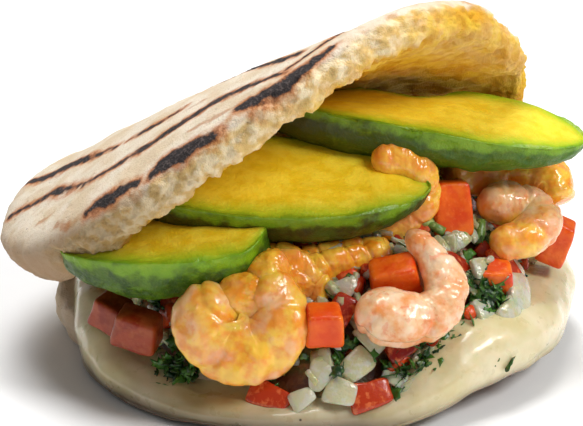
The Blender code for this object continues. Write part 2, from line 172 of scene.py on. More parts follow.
# name: (head radius, tail radius, share of sauce, swelling of the belly, spine from head to tail)
SHRIMPS = {
    "shrimp_front_left": (
        7.4,
        5.4,
        0.75,
        0.45,
        (
            (-19.5, -44, 30),
            (-25.5, -46.5, 25),
            (-22, -48.5, 19),
            (-13.5, -49, 18),
            (-8.5, -47, 23),
            (-9.5, -44.5, 29),
            (-15, -43, 33),
        ),
    ),
    "shrimp_front_right": (
        6.2,
        2.5,
        0.15,
        0.12,
        (
            (8.5, -44, 28),
            (16, -47, 25.5),
            (24, -46, 25),
            (28.5, -43, 28),
            (28, -39, 33),
            (24.5, -36, 37),
            (20, -33, 41),
        ),
    ),
    "shrimp_left": (4.8, 3.4, 0.9, 0.12, ((-16, -34, 32), (-8, -36, 34), (-2, -36, 31), (0, -37, 25))),
    "shrimp_middle": (5.2, 3.2, 0.85, 0.12, ((-4, -34, 31), (2, -33, 33), (9, -31, 34), (17, -29, 34))),
    "shrimp_centre": (
        4.0,
        3.0,
        0.6,
        0.12,
        ((12, -20, 54), (19, -20, 53), (24, -20, 49.5), (24.5, -21, 44), (20.5, -23, 40), (13, -25, 38)),
    ),
    "shrimp_right": (
        4.6,
        4.0,
        0.5,
        0.4,
        ((38, -14, 40), (45, -11, 40), (51, -11, 38.5), (53, -16, 36), (48, -20, 34), (40, -22, 33.5)),
    ),
    "shrimp_back": (
        5.2,
        4.4,
        0.95,
        0.12,
        ((30, -5, 46), (39, -2, 44), (49, 1, 43.5), (56, -1, 42), (58, -5, 37)),
    ),
}
HEAD_END = 0.14  # share of a shrimp's length that its rounded head end takes
TAIL_END = 0.1
BODY_RINGS = 4.8  # grooves along a shrimp's body

# name, node it belongs to, place, size, turn in degrees
SAUCE_LUMPS = (
    ("sauce_front_left", "shrimp_front_left", (-15.5, -44.5, 28.5), (17.0, 9.0, 14.0), (0, 10, 0)),
    ("sauce_front_top", "shrimp_front_left", (-11.0, -41.5, 35.0), (10.0, 8.0, 8.5), (0, -25, 0)),
    ("sauce_left", "shrimp_left", (-6.0, -38.0, 31.5), (12.0, 7.0, 8.0), (0, 20, 0)),
)

# name: (size, place, turn in degrees, share of skin)
TOMATOES = {
    "tomato_front": ((9.0, 8.0, 8.5), (1.0, -48.0, 24.5), (15.0, 0.0, 5.0), 0.9),
    "tomato_inner": ((12.0, 8.0, 8.0), (17.0, -37.0, 31.5), (25.0, -12.0, 0.0), 0.6),
    "tomato_middle": ((9.5, 8.0, 13.0), (31.0, -17.0, 40.5), (-10.0, 0.0, 10.0), 0.7),
    "tomato_right": ((7.5, 9.0, 11.0), (57.5, -7.0, 28.5), (0.0, 20.0, -10.0), 0.7),
    "tomato_left": ((8.5, 8.0, 7.5), (-47.5, -33.0, 21.0), (10.0, 20.0, -25.0), 0.8),
    "tomato_front_left": ((11.0, 8.0, 8.5), (-41.0, -39.0, 19.5), (15.0, 12.0, -15.0), 0.3),
    "tomato_deep": ((8.5, 7.0, 6.0), (41.0, -26.0, 27.0), (20.0, 0.0, 0.0), 0.4),
}
TOMATOES_IN_PAINTED_SHADE = ("tomato_left", "tomato_front_left")  # chunks darkened to deep red by painted shade

# Camera and lamps, in metres, degrees and watts
CAMERA_RISE = 20.5
CAMERA_AWAY = 0.473
CAMERA_TARGET = (-0.0062, 0.0, 0.0329)
# name: (place, size, power)
LAMPS = {
    "side_lamp": ((0.75, -0.35, 0.8), 0.35, 7.6),
    "high_lamp": ((-0.12, 0.15, 1.0), 0.5, 9.5),
}


# ---------------------------------------------------------------- curves and noise


def rounded(value):
    """Smooth step from 0 to 1 as value goes from 0 to 1."""
    value = np.clip(value, 0.0, 1.0)
    return value * value * (3.0 - 2.0 * value)


def between(values, share):
    """Quadratic curve from the first value to the last, pulled towards the middle one."""
    low, middle, high = values
    return (1 - share) ** 2 * low + 2 * share * (1 - share) * middle + share**2 * high


def rows_between(*stretches):
    """Knot numbers from stretches of (first, last, count), each next one taking up its last."""
    parts = [np.linspace(low, high, count, endpoint=False) for low, high, count in stretches[:-1]]
    return np.concatenate([*parts, np.linspace(*stretches[-1])])


def around(count):
    """Angles of count points round a circle."""
    return np.linspace(0, 2 * math.pi, count, endpoint=False)


def bump(angle, place):
    """A bump of height 1 at place, which is (degrees round from +X, spread in degrees)."""
    middle, spread = np.radians(place)
    return np.exp(-(((angle - middle) / spread) ** 2))


def waves(angle, table):
    """The sum of sine waves round the outline, each (height, waves round, start)."""
    return sum(height * np.sin(count * angle + start) for height, count, start in table)


def through(knots, at):
    """Smooth (Catmull-Rom) curve through knots[k, ...] at the knot numbers in at."""
    knots = np.asarray(knots, float)
    ends = np.concatenate([2 * knots[:1] - knots[1:2], knots, 2 * knots[-1:] - knots[-2:-1]])
    index = np.minimum(at.astype(int), len(knots) - 2)
    t = (at - index).reshape((-1,) + (1,) * (knots.ndim - 1))
    a, b, c, d = (ends[index + k] for k in range(4))
    cubic = (3 * b - a - 3 * c + d) * t**3
    square = (2 * a - 5 * b + 4 * c - d) * t**2
    return 0.5 * (2 * b + (c - a) * t + square + cubic)


def cell_value(cell, seed):
    """A fixed pseudo-random number from 0 to 1 for each whole-number cell."""
    x, y, z = (cell[..., k].astype(np.int64).astype(np.uint32) for k in range(3))
    mixed = x * np.uint32(73856093) ^ y * np.uint32(19349663) ^ z * np.uint32(83492791)
    mixed = mixed ^ np.uint32(seed * 7919 + 17)
    mixed = (mixed ^ (mixed >> np.uint32(15))) * np.uint32(2246822519)
    mixed = (mixed ^ (mixed >> np.uint32(13))) * np.uint32(3266489917)
    return (mixed ^ (mixed >> np.uint32(16))) / 4294967295.0


def noise(points, size, seed=0):
    """Bumps about size across, from -1 to 1: random lattice values blended along each axis."""
    scaled = points / size
    cell = np.floor(scaled)
    part = scaled - cell
    part = part * part * (3 - 2 * part)
    total = 0.0
    for corner in np.ndindex(2, 2, 2):
        weight = np.prod(np.where(corner, part, 1 - part), axis=-1)
        total = total + weight * cell_value(cell + corner, seed)
    return 2 * total - 1


def layered(points, size, seed=0, layers=3):
    """Noise plus finer noise of half the size and strength, several times over."""
    return sum(noise(points, size / 2**k, seed + k) / 2**k for k in range(layers))


def lumps(points, size, seed=0):
    """Round lumps about size across: 1 at the middle of each, falling to 0 between them.

    The value is one less the distance to the nearest of the points scattered one to a cell.
    """
    scaled = points / size
    cell = np.floor(scaled)
    nearest = np.full(points.shape[:-1], 9.0)
    for step in np.ndindex(3, 3, 3):
        there = cell + (np.array(step) - 1)
        spot = there + np.stack([cell_value(there, seed + k) for k in range(3)], -1)
        nearest = np.minimum(nearest, ((scaled - spot) ** 2).sum(-1))
    return np.clip(1 - np.sqrt(nearest), 0, 1)


def grid_normals(rows):
    """Unit normals of a grid that wraps along its second axis."""
    down = np.gradient(rows, axis=-3)
    along = np.roll(rows, -1, axis=-2) - np.roll(rows, 1, axis=-2)
    normal = np.cross(along, down)
    return normal / np.maximum(np.linalg.norm(normal, axis=-1, keepdims=True), 1e-9)


def outward(rows):
    """Unit normals that point out of a closed grid, judged by the volume it encloses."""
    normal = grid_normals(rows)
    middle = rows.reshape(-1, 3).mean(0)
    return normal if ((rows - middle) * normal).sum(-1).mean() > 0 else -normal


# ---------------------------------------------------------------- meshes


def grid_faces(count, ring):
    """Quads and triangles of a closed grid: count rows, the first and last of them a pole."""
    row = np.arange(count - 3)[:, None] * ring
    j = np.arange(ring)
    k = (j + 1) % ring
    quads = np.stack([row + j, row + k, row + ring + k, row + ring + j], -1).reshape(-1, 4)
    first = (count - 2) * ring
    last_row = (count - 3) * ring
    fan_in = np.stack([0 * j + first, k, j], -1)
    fan_out = np.stack([0 * j + first + 1, last_row + j, last_row + k], -1)
    return quads, np.concatenate([fan_in, fan_out])


def with_poles(values):
    """Inner rows of a grid as a list, then its two end rows as one value each."""
    tail = values.shape[3:]
    inner = values[:, 1:-1].reshape((len(values), -1) + tail)
    return np.concatenate([inner, values[:, 0].mean(1)[:, None], values[:, -1].mean(1)[:, None]], 1)


def closed_piece(name, rows, marks=None, smooth=True):
    """A mesh of one or many closed grids: rows[n, i, j] or rows[i, j], j running round.

    marks are named values on the same grid, which the materials read.
    """
    if rows.ndim == 3:
        rows = rows[None]
        marks = {key: value[None] for key, value in (marks or {}).items()}
    copies, count, ring = rows.shape[:3]
    points = with_poles(rows)
    quads, fans = grid_faces(count, ring)
    corner = points[0][fans]
    flat = points[0][quads]
    volume = np.linalg.det(corner).sum() + np.linalg.det(flat[:, [0, 1, 2]]).sum()
    volume += np.linalg.det(flat[:, [0, 2, 3]]).sum()
    if volume < 0:
        quads, fans = quads[:, ::-1], fans[:, ::-1]
    offset = (np.arange(copies) * points.shape[1])[:, None, None]
    quads = (quads[None] + offset).reshape(-1)
    fans = (fans[None] + offset).reshape(-1)
    mesh = bpy.data.meshes.new(name)
    mesh.vertices.add(copies * points.shape[1])
    mesh.vertices.foreach_set("co", (points.reshape(-1, 3) * MM + SHIFT).astype(np.float32).ravel())
    mesh.loops.add(len(quads) + len(fans))
    mesh.loops.foreach_set("vertex_index", np.concatenate([quads, fans]).astype(np.int32))
    starts = np.concatenate([np.arange(0, len(quads), 4), len(quads) + np.arange(0, len(fans), 3)])
    mesh.polygons.add(len(starts))
    mesh.polygons.foreach_set("loop_start", starts.astype(np.int32))
    mesh.update(calc_edges=True)
    if smooth:
        mesh.shade_smooth()
    for key, value in (marks or {}).items():
        layer = mesh.attributes.new(key, "FLOAT", "POINT")
        full = np.broadcast_to(value, (copies, count, ring))
        layer.data.foreach_set("value", with_poles(full).astype(np.float32).ravel())
    made = bpy.data.objects.new(name, mesh)
    bpy.context.scene.collection.objects.link(made)
    return made


def dress(made, material, slot, *nodes):
    """Gives a piece its material and its body, and says which CAD nodes it stands for; slot is not used."""
    made.data.materials.append(material)
    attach(made, "root")
    if nodes:
        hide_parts(*nodes)


def turned_points(points, place, turn):
    """Points turned about the origin by degrees round X, Y and Z, then moved to place."""
    matrix = np.array(Euler([math.radians(angle) for angle in turn], "XYZ").to_matrix())
    return points @ matrix.T + np.array(place)


# ---------------------------------------------------------------- material building


def srgb(red, green, blue):
    """A colour given as 0-255 screen values, as the shader wants it."""
    values = np.array([red, green, blue]) / 255
    linear = np.where(values <= 0.04045, values / 12.92, ((values + 0.055) / 1.055) ** 2.4)
    return (*linear.tolist(), 1.0)


def add(tree, kind, values=None, **settings):
    """Adds a node; each value is a number, a colour or the socket that feeds that input."""
    node = tree.nodes.new(kind)
    for key, value in settings.items():
        setattr(node, key, value)
    for key, value in (values or {}).items():
        if isinstance(value, bpy.types.NodeSocket):
            tree.links.new(value, node.inputs[key])
        else:
            node.inputs[key].default_value = value
    return node


def maths(tree, operation, one, other=0.0):
    return add(tree, "ShaderNodeMath", {0: one, 1: other}, operation=operation).outputs[0]


def mixed(tree, share, one, other):
    """Colour one where share is 0, other where it is 1."""
    node = add(tree, "ShaderNodeMix", {0: share, 6: one, 7: other}, data_type="RGBA")
    return node.outputs[2]


def ramped(tree, value, low, high):
    """Smooth step of value from 0 at low to 1 at high; it falls where low is above high."""
    node = add(
        tree,
        "ShaderNodeMapRange",
        {0: value, 1: low, 2: high, 3: 0.0, 4: 1.0},
        interpolation_type="SMOOTHSTEP",
    )
    return node.outputs[0]


def marked(tree, name):
    return add(tree, "ShaderNodeAttribute", attribute_name=name).outputs["Fac"]


def new_group(name, inputs, outputs):
    """An empty node group with named number inputs (Vector is a vector) and number outputs."""
    group = bpy.data.node_groups.new(name, "ShaderNodeTree")
    for key in inputs:
        kind = "NodeSocketVector" if key == "Vector" else "NodeSocketFloat"
        group.interface.new_socket(key, in_out="INPUT", socket_type=kind)
    for key in outputs:
        group.interface.new_socket(key, in_out="OUTPUT", socket_type="NodeSocketFloat")
    return group, group.nodes.new("NodeGroupInput"), group.nodes.new("NodeGroupOutput")


def mottle_group():
    """Mask of soft blotches: noise of the given Scale, stepped from Low to High."""
    group, given, made = new_group("mottle", ("Vector", "Scale", "Low", "High"), ("Mask",))
    cloud = add(
        group,
        "ShaderNodeTexNoise",
        {"Vector": given.outputs["Vector"], "Scale": given.outputs["Scale"], "Detail": 4.0},
    )
    mask = ramped(group, cloud.outputs["Fac"], given.outputs["Low"], given.outputs["High"])
    group.links.new(mask, made.inputs["Mask"])
    return group


def speck_group():
    """Mask of small round specks: the middles of some of the cells of a Voronoi pattern."""
    group, given, made = new_group("specks", ("Vector", "Scale", "Radius", "Share"), ("Mask",))
    cells = add(
        group,
        "ShaderNodeTexVoronoi",
        {"Vector": given.outputs["Vector"], "Scale": given.outputs["Scale"]},
    )
    inner = maths(group, "MULTIPLY", given.outputs["Radius"], 0.5)
    near = ramped(group, cells.outputs["Distance"], given.outputs["Radius"], inner)
    pick = add(group, "ShaderNodeSeparateColor", {0: cells.outputs["Color"]}).outputs[0]
    chosen = maths(group, "LESS_THAN", pick, given.outputs["Share"])
    group.links.new(maths(group, "MULTIPLY", near, chosen), made.inputs["Mask"])
    return group


def grain_group():
    """Height of a fine grain: noise of the given Scale plus cells of twice that scale."""
    group, given, made = new_group("grain", ("Vector", "Scale", "Cells"), ("Height",))
    vector, scale = given.outputs["Vector"], given.outputs["Scale"]
    cloud = add(group, "ShaderNodeTexNoise", {"Vector": vector, "Scale": scale, "Detail": 5.0})
    double = maths(group, "MULTIPLY", scale, 2.0)
    cells = add(group, "ShaderNodeTexVoronoi", {"Vector": vector, "Scale": double})
    grains = maths(group, "MULTIPLY", cells.outputs["Distance"], given.outputs["Cells"])
    group.links.new(maths(group, "SUBTRACT", cloud.outputs["Fac"], grains), made.inputs["Height"])
    return group


MOTTLE = mottle_group()
SPECKS = speck_group()
GRAIN = grain_group()


class Finish:
    """A material under construction: one Principled shader and the nodes that feed it."""

    def __init__(self, name, **fixed):
        self.material = bpy.data.materials.new(name)
        self.material.use_nodes = True
        self.tree = self.material.node_tree
        self.tree.nodes.clear()
        out = self.tree.nodes.new("ShaderNodeOutputMaterial")
        self.shader = self.tree.nodes.new("ShaderNodeBsdfPrincipled")
        self.tree.links.new(self.shader.outputs[0], out.inputs[0])
        self.place = self.tree.nodes.new("ShaderNodeTexCoord").outputs["Object"]
        self.fix(**fixed)

    def fix(self, **fixed):
        """Sets the shader's own sockets, such as coat_weight for Coat Weight."""
        for key, value in fixed.items():
            label = key.replace("_", " ").title().replace("Ior", "IOR")
            self.shader.inputs[label].default_value = value

    def group(self, group, **values):
        node = self.tree.nodes.new("ShaderNodeGroup")
        node.node_tree = group
        self.tree.links.new(self.place, node.inputs["Vector"])
        for key, value in values.items():
            if isinstance(value, bpy.types.NodeSocket):
                self.tree.links.new(value, node.inputs[key])
            else:
                node.inputs[key].default_value = value
        return node.outputs[0]

    def mottle(self, size, low=0.4, high=0.6):
        return self.group(MOTTLE, Scale=1 / (size * MM), Low=low, High=high)

    def specks(self, size, radius, share):
        return self.group(SPECKS, Scale=1 / (size * MM), Radius=radius, Share=share)

    def grain(self, size, cells=0.3):
        return self.group(GRAIN, Scale=1 / (size * MM), Cells=cells)

    def mark(self, name):
        return marked(self.tree, name)

    def mix(self, share, one, other):
        return mixed(self.tree, share, one, other)

    def stain(self, base, mask, strength, colour):
        """The base colour with another laid over it where the mask is 1, at the given strength."""
        return self.mix(self.times(mask, strength), base, colour)

    def ramp(self, value, low, high):
        return ramped(self.tree, value, low, high)

    def maths(self, operation, one, other=0.0):
        return maths(self.tree, operation, one, other)

    def times(self, one, other):
        return maths(self.tree, "MULTIPLY", one, other)

    def feed(self, key, socket):
        self.tree.links.new(socket, self.shader.inputs[key])

    def bump(self, height, depth, strength=1.0):
        values = {"Height": height, "Distance": depth * MM, "Strength": strength}
        self.feed("Normal", add(self.tree, "ShaderNodeBump", values).outputs[0])


# ---------------------------------------------------------------- corn cake


def bent(x, y, height):
    """Where a point of the flat upper half goes when it is opened.

    Each strip from the hinge to the lip leaves the hinge at BACK_PITCH and reaches the lip at
    LIP_PITCH, and its slope changes evenly on the way. The height stands on the bent surface.
    """

    def middle(x, y):
        share = (x + LID_RADIUS) / (2 * LID_RADIUS)
        start = np.radians(between(BACK_PITCH, share))
        turn = (np.radians(between(LIP_PITCH, share)) - start) / (HINGE_Y + LID_RADIUS)
        end = start + turn * (HINGE_Y - y)
        forward = (np.sin(end) - np.sin(start)) / turn
        up = (np.cos(start) - np.cos(end)) / turn
        return np.stack([x + LID_CENTRE_X, HINGE_Y - forward, between(HINGE_HEIGHT, share) + up], -1)

    step = 0.01
    place = middle(x, y)
    normal = np.cross(middle(x + step, y) - place, middle(x, y + step) - place)
    normal /= np.linalg.norm(normal, axis=-1, keepdims=True)
    return place + normal * height[..., None]


def upper_knots(angle):
    """Radius and height of the upper half's section at each knot of LID_PROFILE. The rim is
    thicker on the left, where it was never cut."""
    left = rounded((-np.cos(angle) - 0.45) / 0.5)
    extra = (LID_THICK_LEFT - LID_THICK) * left
    radius = [share * LID_RADIUS + 0 * angle for share, _, _ in LID_PROFILE]
    height = [0.5 * LID_THICK * halves + thicker * extra for _, halves, thicker in LID_PROFILE]
    return np.stack(radius), np.stack(height)


def lower_knots(angle):
    """Radius and height of the lower half's section at 13 knots, from its underside's middle
    round the rim to its top's middle. A wall rises along its back."""
    outline = BASE_RADIUS + BASE_BULGE * bump(angle, BASE_BULGE_AT)
    wall = WALL_RISE * bump(angle, WALL_AT)
    top = BASE_THICK + wall
    pairs = [(0 * outline, 0.0), (0.5 * outline, 0.0)]
    for turn in np.radians([0, 35, 65, 90]):
        pairs.append((outline - BASE_ROUND * (1 - np.sin(turn)), BASE_ROUND * (1 - np.cos(turn))))
    for turn in np.radians([0, 45, 90]):
        in_from = BASE_TOP_ROUND * (1 - np.cos(turn))
        pairs.append((outline - in_from, top - BASE_TOP_ROUND * (1 - np.sin(turn))))
    pairs.append((outline - WALL_THICK, top))
    pairs.append((outline - WALL_FOOT, BASE_THICK + 0.25 * wall))
    pairs += [(0.4 * outline, BASE_THICK), (0 * outline, BASE_THICK)]
    return np.stack([radius for radius, _ in pairs]), np.stack([height + 0 * angle for _, height in pairs])


def polar(centre, radius, angle, height):
    """Points from a radius, an angle and a height."""
    return np.stack([centre[0] + radius * np.cos(angle), centre[1] + radius * np.sin(angle), height], -1)


def plain_corner():
    """Lowest corner of the two halves as the solid has them, before any relief."""
    angle = around(LID_RING)
    radius, height = upper_knots(angle)
    upper = bent(radius * np.cos(angle), radius * np.sin(angle), height)
    angle = around(BASE_RING)
    radius, height = lower_knots(angle)
    return np.minimum(upper.min((0, 1)), polar(BASE_CENTRE, radius, angle, height).min((0, 1)))


SHIFT = np.array(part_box("arepa_bread")[0]) - plain_corner() * MM


def beyond_mark(x, y, marks):
    """Distance from each point to the edge of the nearest mark, negative inside it."""
    nearest = np.full(x.shape, 12.0)
    for mark in marks:
        for (x0, y0, w0), (x1, y1, w1) in zip(mark, mark[1:]):
            dx, dy = x1 - x0, y1 - y0
            t = np.clip(((x - x0) * dx + (y - y0) * dy) / (dx * dx + dy * dy), 0, 1)
            away = np.hypot(x - x0 - t * dx, y - y0 - t * dy) - (w0 + (w1 - w0) * t)
            nearest = np.minimum(nearest, away)
    return nearest


def crowded_angles(count, middle, spread, extra):
    """Angles round a circle, closer together by extra times within spread of the middle."""
    fine = np.linspace(-math.pi, math.pi, 4000)
    off = np.abs(np.angle(np.exp(1j * (fine - math.radians(middle)))))
    density = 1 + extra * rounded((math.radians(spread) - off) / 0.4)
    total = np.concatenate([[0], np.cumsum(0.5 * (density[1:] + density[:-1]))])
    return np.interp(np.linspace(0, total[-1], count, endpoint=False), total, fine)


def upper_half():
    """The upper half: the CAD section swept round, with a floury crust above, a torn crumb along
    the open lip and a streaky underside, each displaced along the surface normal.

    char and brown are the distances to the nearest grill mark and brown streak. crumb is 1 on torn
    bread, golden on the oily yellow parts and rim along the upper edge, and shade is painted shade,
    rising towards the left rim. at counts the knots of the section from the top's middle.
    """
    angle = crowded_angles(640, -80, 105, 1.6)
    at = rows_between((0, 4, 30), (4, 5.3, 30), (5.3, 9.6, 54), (9.6, 14, 34))
    radius, height = (through(knots, at) for knots in upper_knots(angle))
    at = at[:, None]
    rim = polar((0, 0), LID_RADIUS, angle, 0 * angle)
    radius = radius + rounded((at - 4.6) / 1.5) * rounded((10.5 - at) / 1.5) * 0.7 * layered(rim, 9.0, 3)
    left = rounded((-np.cos(angle) - 0.6) / 0.35)
    radius = radius + 1.8 * rounded((at - 2) / 4) * rounded((12 - at) / 3) * left
    turn = angle - math.radians(TORN_MIDDLE)
    torn = rounded((np.cos(turn) - math.cos(math.radians(TORN_HALF))) / 0.16)
    ragged = 0.7 * noise(rim, 2.2, 5) + 0.9 * noise(rim, 5.5, 6) + 0.6 * noise(rim, 1.0, 17) - 0.2
    height = height - ragged * torn * np.exp(-(((at - LIP_KNOT) / 0.9) ** 2))
    flat_x, flat_y = radius * np.cos(angle), radius * np.sin(angle)
    points = bent(flat_x, flat_y, height)

    crumb = torn * rounded((at - CRUMB_KNOT + 0.45 * noise(points, 3.0, 8)) / 0.5)
    crumb = np.maximum(crumb, rounded((at - UNDERSIDE_KNOT) / 0.8))
    over_edge = np.clip(at - EDGE_KNOT, 0, 9)
    char = beyond_mark(flat_x, flat_y, GRILL_MARKS) + 1.6 * over_edge
    brown = beyond_mark(flat_x, flat_y, BROWN_STREAKS) + 1.6 * over_edge
    crust = 0.4 * noise(points, 12.0, 1) + 0.2 * noise(points, 4.5, 2) + 0.08 * layered(points, 1.5, 3)
    crust = crust - 0.3 * rounded((lumps(points, 4.2, 4) - 0.8) / 0.15)
    crust = crust + 0.25 * (lumps(points, 1.7, 9) - 0.4) * rounded((at - 5.2) / 0.8)
    crust = crust + 0.15 * layered(points, 0.9, 7) * rounded((0.5 - char) / 0.8)
    inside = 0.2 * (lumps(points, 1.9, 11) - 0.35) + 0.35 * (lumps(points, 0.9, 12) - 0.35)
    inside = inside + 0.6 * noise(points, 5.5, 13) + 0.7 * layered(points, 2.0, 16)
    relief = outward(points) * (crust * (1 - crumb) + inside * crumb)[..., None]

    rightness = rounded((points[..., 0] + 20) / 60)
    low_edge = rounded((at - 7.0 + 0.7 * noise(points, 5.0, 14)) / 1.3) * (0.25 + 0.75 * rightness)
    right_end = rounded((at - 5.6 + 0.6 * noise(points, 6.0, 18)) / 0.9) * rounded((points[..., 0] - 8) / 26)
    golden = np.maximum(np.maximum(low_edge, right_end), rounded((at - 8.3) / 0.6))
    golden = golden * (1 - 0.3 * rounded((0.55 * noise(points, 16.0, 15) - 0.02) / 0.3) * rightness)
    marks = {
        "char": np.clip(char, -4, 12),
        "brown": np.clip(brown, -4, 12),
        "crumb": crumb,
        "golden": np.clip(golden, 0, 1),
        "rim": rounded((at - 5.0) / 0.5) * rounded((7.2 - at) / 0.8),
        # painted shade over the left rim and the crumb below it, where little light falls
        "shade": rounded((at - 4.8) / 1.6) * rounded((-14.0 - points[..., 0]) / 44.0),
    }
    return closed_piece("corn_cake_upper", points + relief, marks)


def lower_half():
    """The lower half: the CAD section swept round, with a wrinkled pale crust outside. Its marks
    are those of the upper half, and shade is painted shade, darkest at its front."""
    angle = around(320)
    at = rows_between((0, 2, 10), (2, 9, 60), (9, 12, 16))
    radius, height = (through(knots, at) for knots in lower_knots(angle))
    points = polar(BASE_CENTRE, radius, angle, height)
    at = at[:, None]
    side = rounded((at - 2) / 1.0)
    wrinkles = 0.5 * layered(points * (1, 1, 2.5), 7.0, 21) + 0.2 * (lumps(points, 1.8, 22) - 0.4)
    relief = wrinkles * side - 0.3 * rounded((lumps(points, 4.0, 23) - 0.78) / 0.15) * side
    points = points + outward(points) * relief[..., None]
    points[..., 2] = np.maximum(points[..., 2], 0)
    everywhere = 0 * radius
    marks = {
        "char": everywhere + 12,
        "brown": everywhere + 12,
        "crumb": everywhere + rounded((at - 8.6) / 0.6),
        "golden": everywhere + 0.3 * rounded((at - 8.8) / 0.6),
        "rim": everywhere,
        # painted shade, darkest on the front of the lower half
        "shade": 0.7 * rounded((18 - points[..., 1]) / 36),
    }
    return closed_piece("corn_cake_lower", points, marks)


def bread_finish():
    """Pale floury crust with toasted specks, black grill marks with an orange-brown fringe, and a
    cream to golden crumb."""
    finish = Finish("corn_bread", roughness=0.8, subsurface_weight=0.08, subsurface_scale=0.002)
    crust = finish.mix(finish.mottle(9.0, 0.35, 0.62), srgb(218, 196, 164), srgb(230, 216, 194))
    crust = finish.stain(crust, finish.mottle(2.2, 0.52, 0.7), 0.4, srgb(205, 178, 142))
    toasted = finish.times(finish.mottle(6.0, 0.55, 0.68), finish.maths("ADD", finish.mark("rim"), 0.12))
    crust = finish.stain(crust, toasted, 0.7, srgb(190, 138, 84))
    crust = finish.stain(crust, finish.specks(2.6, 0.14, 0.14), 0.7, srgb(110, 76, 48))
    pale = finish.mix(finish.mottle(2.6, 0.38, 0.62), srgb(214, 180, 116), srgb(240, 220, 180))
    gold = finish.mix(finish.mottle(5.0, 0.4, 0.62), srgb(214, 154, 8), srgb(234, 188, 44))
    inside = finish.mix(finish.mark("golden"), pale, gold)
    # painted shade: the crust and crumb darken towards the left rim and the lower half's front
    crust = finish.stain(crust, finish.mark("shade"), 0.9, srgb(158, 126, 92))
    inside = finish.stain(inside, finish.mark("shade"), 0.7, srgb(124, 90, 44))
    base = finish.mix(finish.mark("crumb"), crust, inside)
    wobble = finish.times(finish.maths("SUBTRACT", finish.mottle(2.6, 0.2, 0.8), 0.5), 1.2)
    fine = finish.times(finish.maths("SUBTRACT", finish.grain(0.9, 0.3), 0.4), 0.8)
    distance = finish.maths("ADD", finish.mark("char"), finish.maths("ADD", wobble, fine))
    uneven = finish.ramp(finish.mottle(3.4, 0.3, 0.6), -0.5, 0.8)
    fringe = finish.times(finish.ramp(distance, 2.4, 0.2), uneven)
    base = finish.stain(base, fringe, 0.9, srgb(190, 112, 52))
    base = finish.stain(base, finish.ramp(distance, 0.9, 0.1), 0.8, srgb(104, 58, 34))
    streak = finish.ramp(finish.maths("ADD", finish.mark("brown"), wobble), 0.8, -0.3)
    base = finish.stain(base, streak, 0.6, srgb(176, 110, 58))
    black = finish.ramp(distance, 0.35, -0.1)
    soot = finish.mix(finish.mottle(0.7, 0.5, 0.66), srgb(26, 22, 24), srgb(78, 68, 66))
    base = finish.mix(finish.times(black, 0.97), base, soot)
    finish.feed("Base Color", base)
    finish.bump(finish.grain(0.7, 0.5), 0.35, 0.7)
    return finish.material


# ---------------------------------------------------------------- cheese


def cheese_points(angle, at):
    """The cheese slab: an outline that is round at the mouth and short at the back, and a
    quarter-ellipse rim that droops in front and stays high on the right."""
    back = rounded((np.sin(angle) - 0.25) / 0.6)
    front = rounded((0.1 - np.sin(angle)) / 1.0)
    right = rounded((np.cos(angle - math.radians(-12)) - 0.35) / 0.5)
    outline = CHEESE_RADIUS + (CHEESE_BACK_RADIUS - CHEESE_RADIUS) * back
    outline = outline + waves(angle, CHEESE_WAVES) * (1 - back) - CHEESE_FLAT * bump(angle, CHEESE_FLAT_AT)
    low = CHEESE_LOW + CHEESE_RISE * right + CHEESE_BACK_RISE * back + 0.4 * np.sin(6 * angle)
    high = CHEESE_TOP - CHEESE_DIP * front**2 * (1 - right) + CHEESE_RIGHT_LIFT * right
    middle = 0.5 * (low + high)
    pairs = [(0 * outline, CHEESE_TOP + 0 * angle), (0.4 * outline, CHEESE_TOP + 0 * angle)]
    pairs.append((0.7 * outline, 0.25 * CHEESE_TOP + 0.75 * high + 1.0))
    for turn in np.radians([0, 25, 50, 70, 90]):
        pairs.append((outline * (0.86 + 0.14 * np.sin(turn)), middle + (high - middle) * np.cos(turn)))
    for turn in np.radians([40, 90]):
        pairs.append((outline * (0.93 + 0.07 * np.cos(turn)), middle - (middle - low) * np.sin(turn)))
    pairs += [(0.5 * outline, low), (0 * outline, low)]
    radius = through(np.stack([radius for radius, _ in pairs]), at)
    height = through(np.stack([height for _, height in pairs]), at)
    return polar(CHEESE_CENTRE, radius, angle, height)


def cheese():
    """The slab with soft dents and folds, pressed along its normal. low is painted shade, 1 on its underside
    and near the table in front and on the left, where shade falls."""
    angle = around(460)
    at = rows_between((0, 2, 12), (2, 9.2, 74), (9.2, 11, 10))
    points = cheese_points(angle, at)
    folds = 0.9 * noise(points, 17.0, 31) + 0.45 * noise(points * (1, 1, 1.6), 7.0, 32)
    folds = folds + 0.1 * noise(points, 2.4, 33)
    points = points + outward(points) * folds[..., None]
    points[..., 2] = np.maximum(points[..., 2], 0.3)
    # painted shade mask: the underside and the low front-left edge, where shade falls, are marked as low
    near_table = 1 - rounded((points[..., 2] - 0.5) / 9.0)
    underside = 0.8 * rounded((at[:, None] - 7.9) / 0.8)
    low = np.maximum(near_table * rounded((44 - points[..., 0]) / 40), underside)
    return closed_piece("soft_cheese", points, {"low": low})


def cheese_finish():
    """Smooth, glossy, pale yellow-green cheese with dark specks, and painted shade that darkens it near its
    lower edge and on its underside.
    """
    finish = Finish("melted_cheese", roughness=0.28, coat_weight=0.5, coat_roughness=0.1)
    finish.fix(subsurface_weight=0.3, subsurface_scale=0.004)
    base = finish.mix(finish.mottle(14.0, 0.35, 0.65), srgb(214, 200, 150), srgb(230, 217, 180))
    base = finish.stain(base, finish.mottle(5.0, 0.5, 0.7), 0.4, srgb(200, 184, 128))
    # painted shade: dark brown where low is 1
    base = finish.stain(base, finish.mark("low"), 0.95, srgb(76, 52, 28))
    base = finish.stain(base, finish.specks(5.0, 0.09, 0.12), 0.9, srgb(58, 44, 30))
    finish.feed("Base Color", base)
    finish.feed("Roughness", finish.ramp(finish.mottle(3.0, 0.3, 0.7), -1.6, 3.4))
    finish.bump(finish.grain(2.4, 0.1), 0.18, 0.5)
    return finish.material


# ---------------------------------------------------------------- salsa


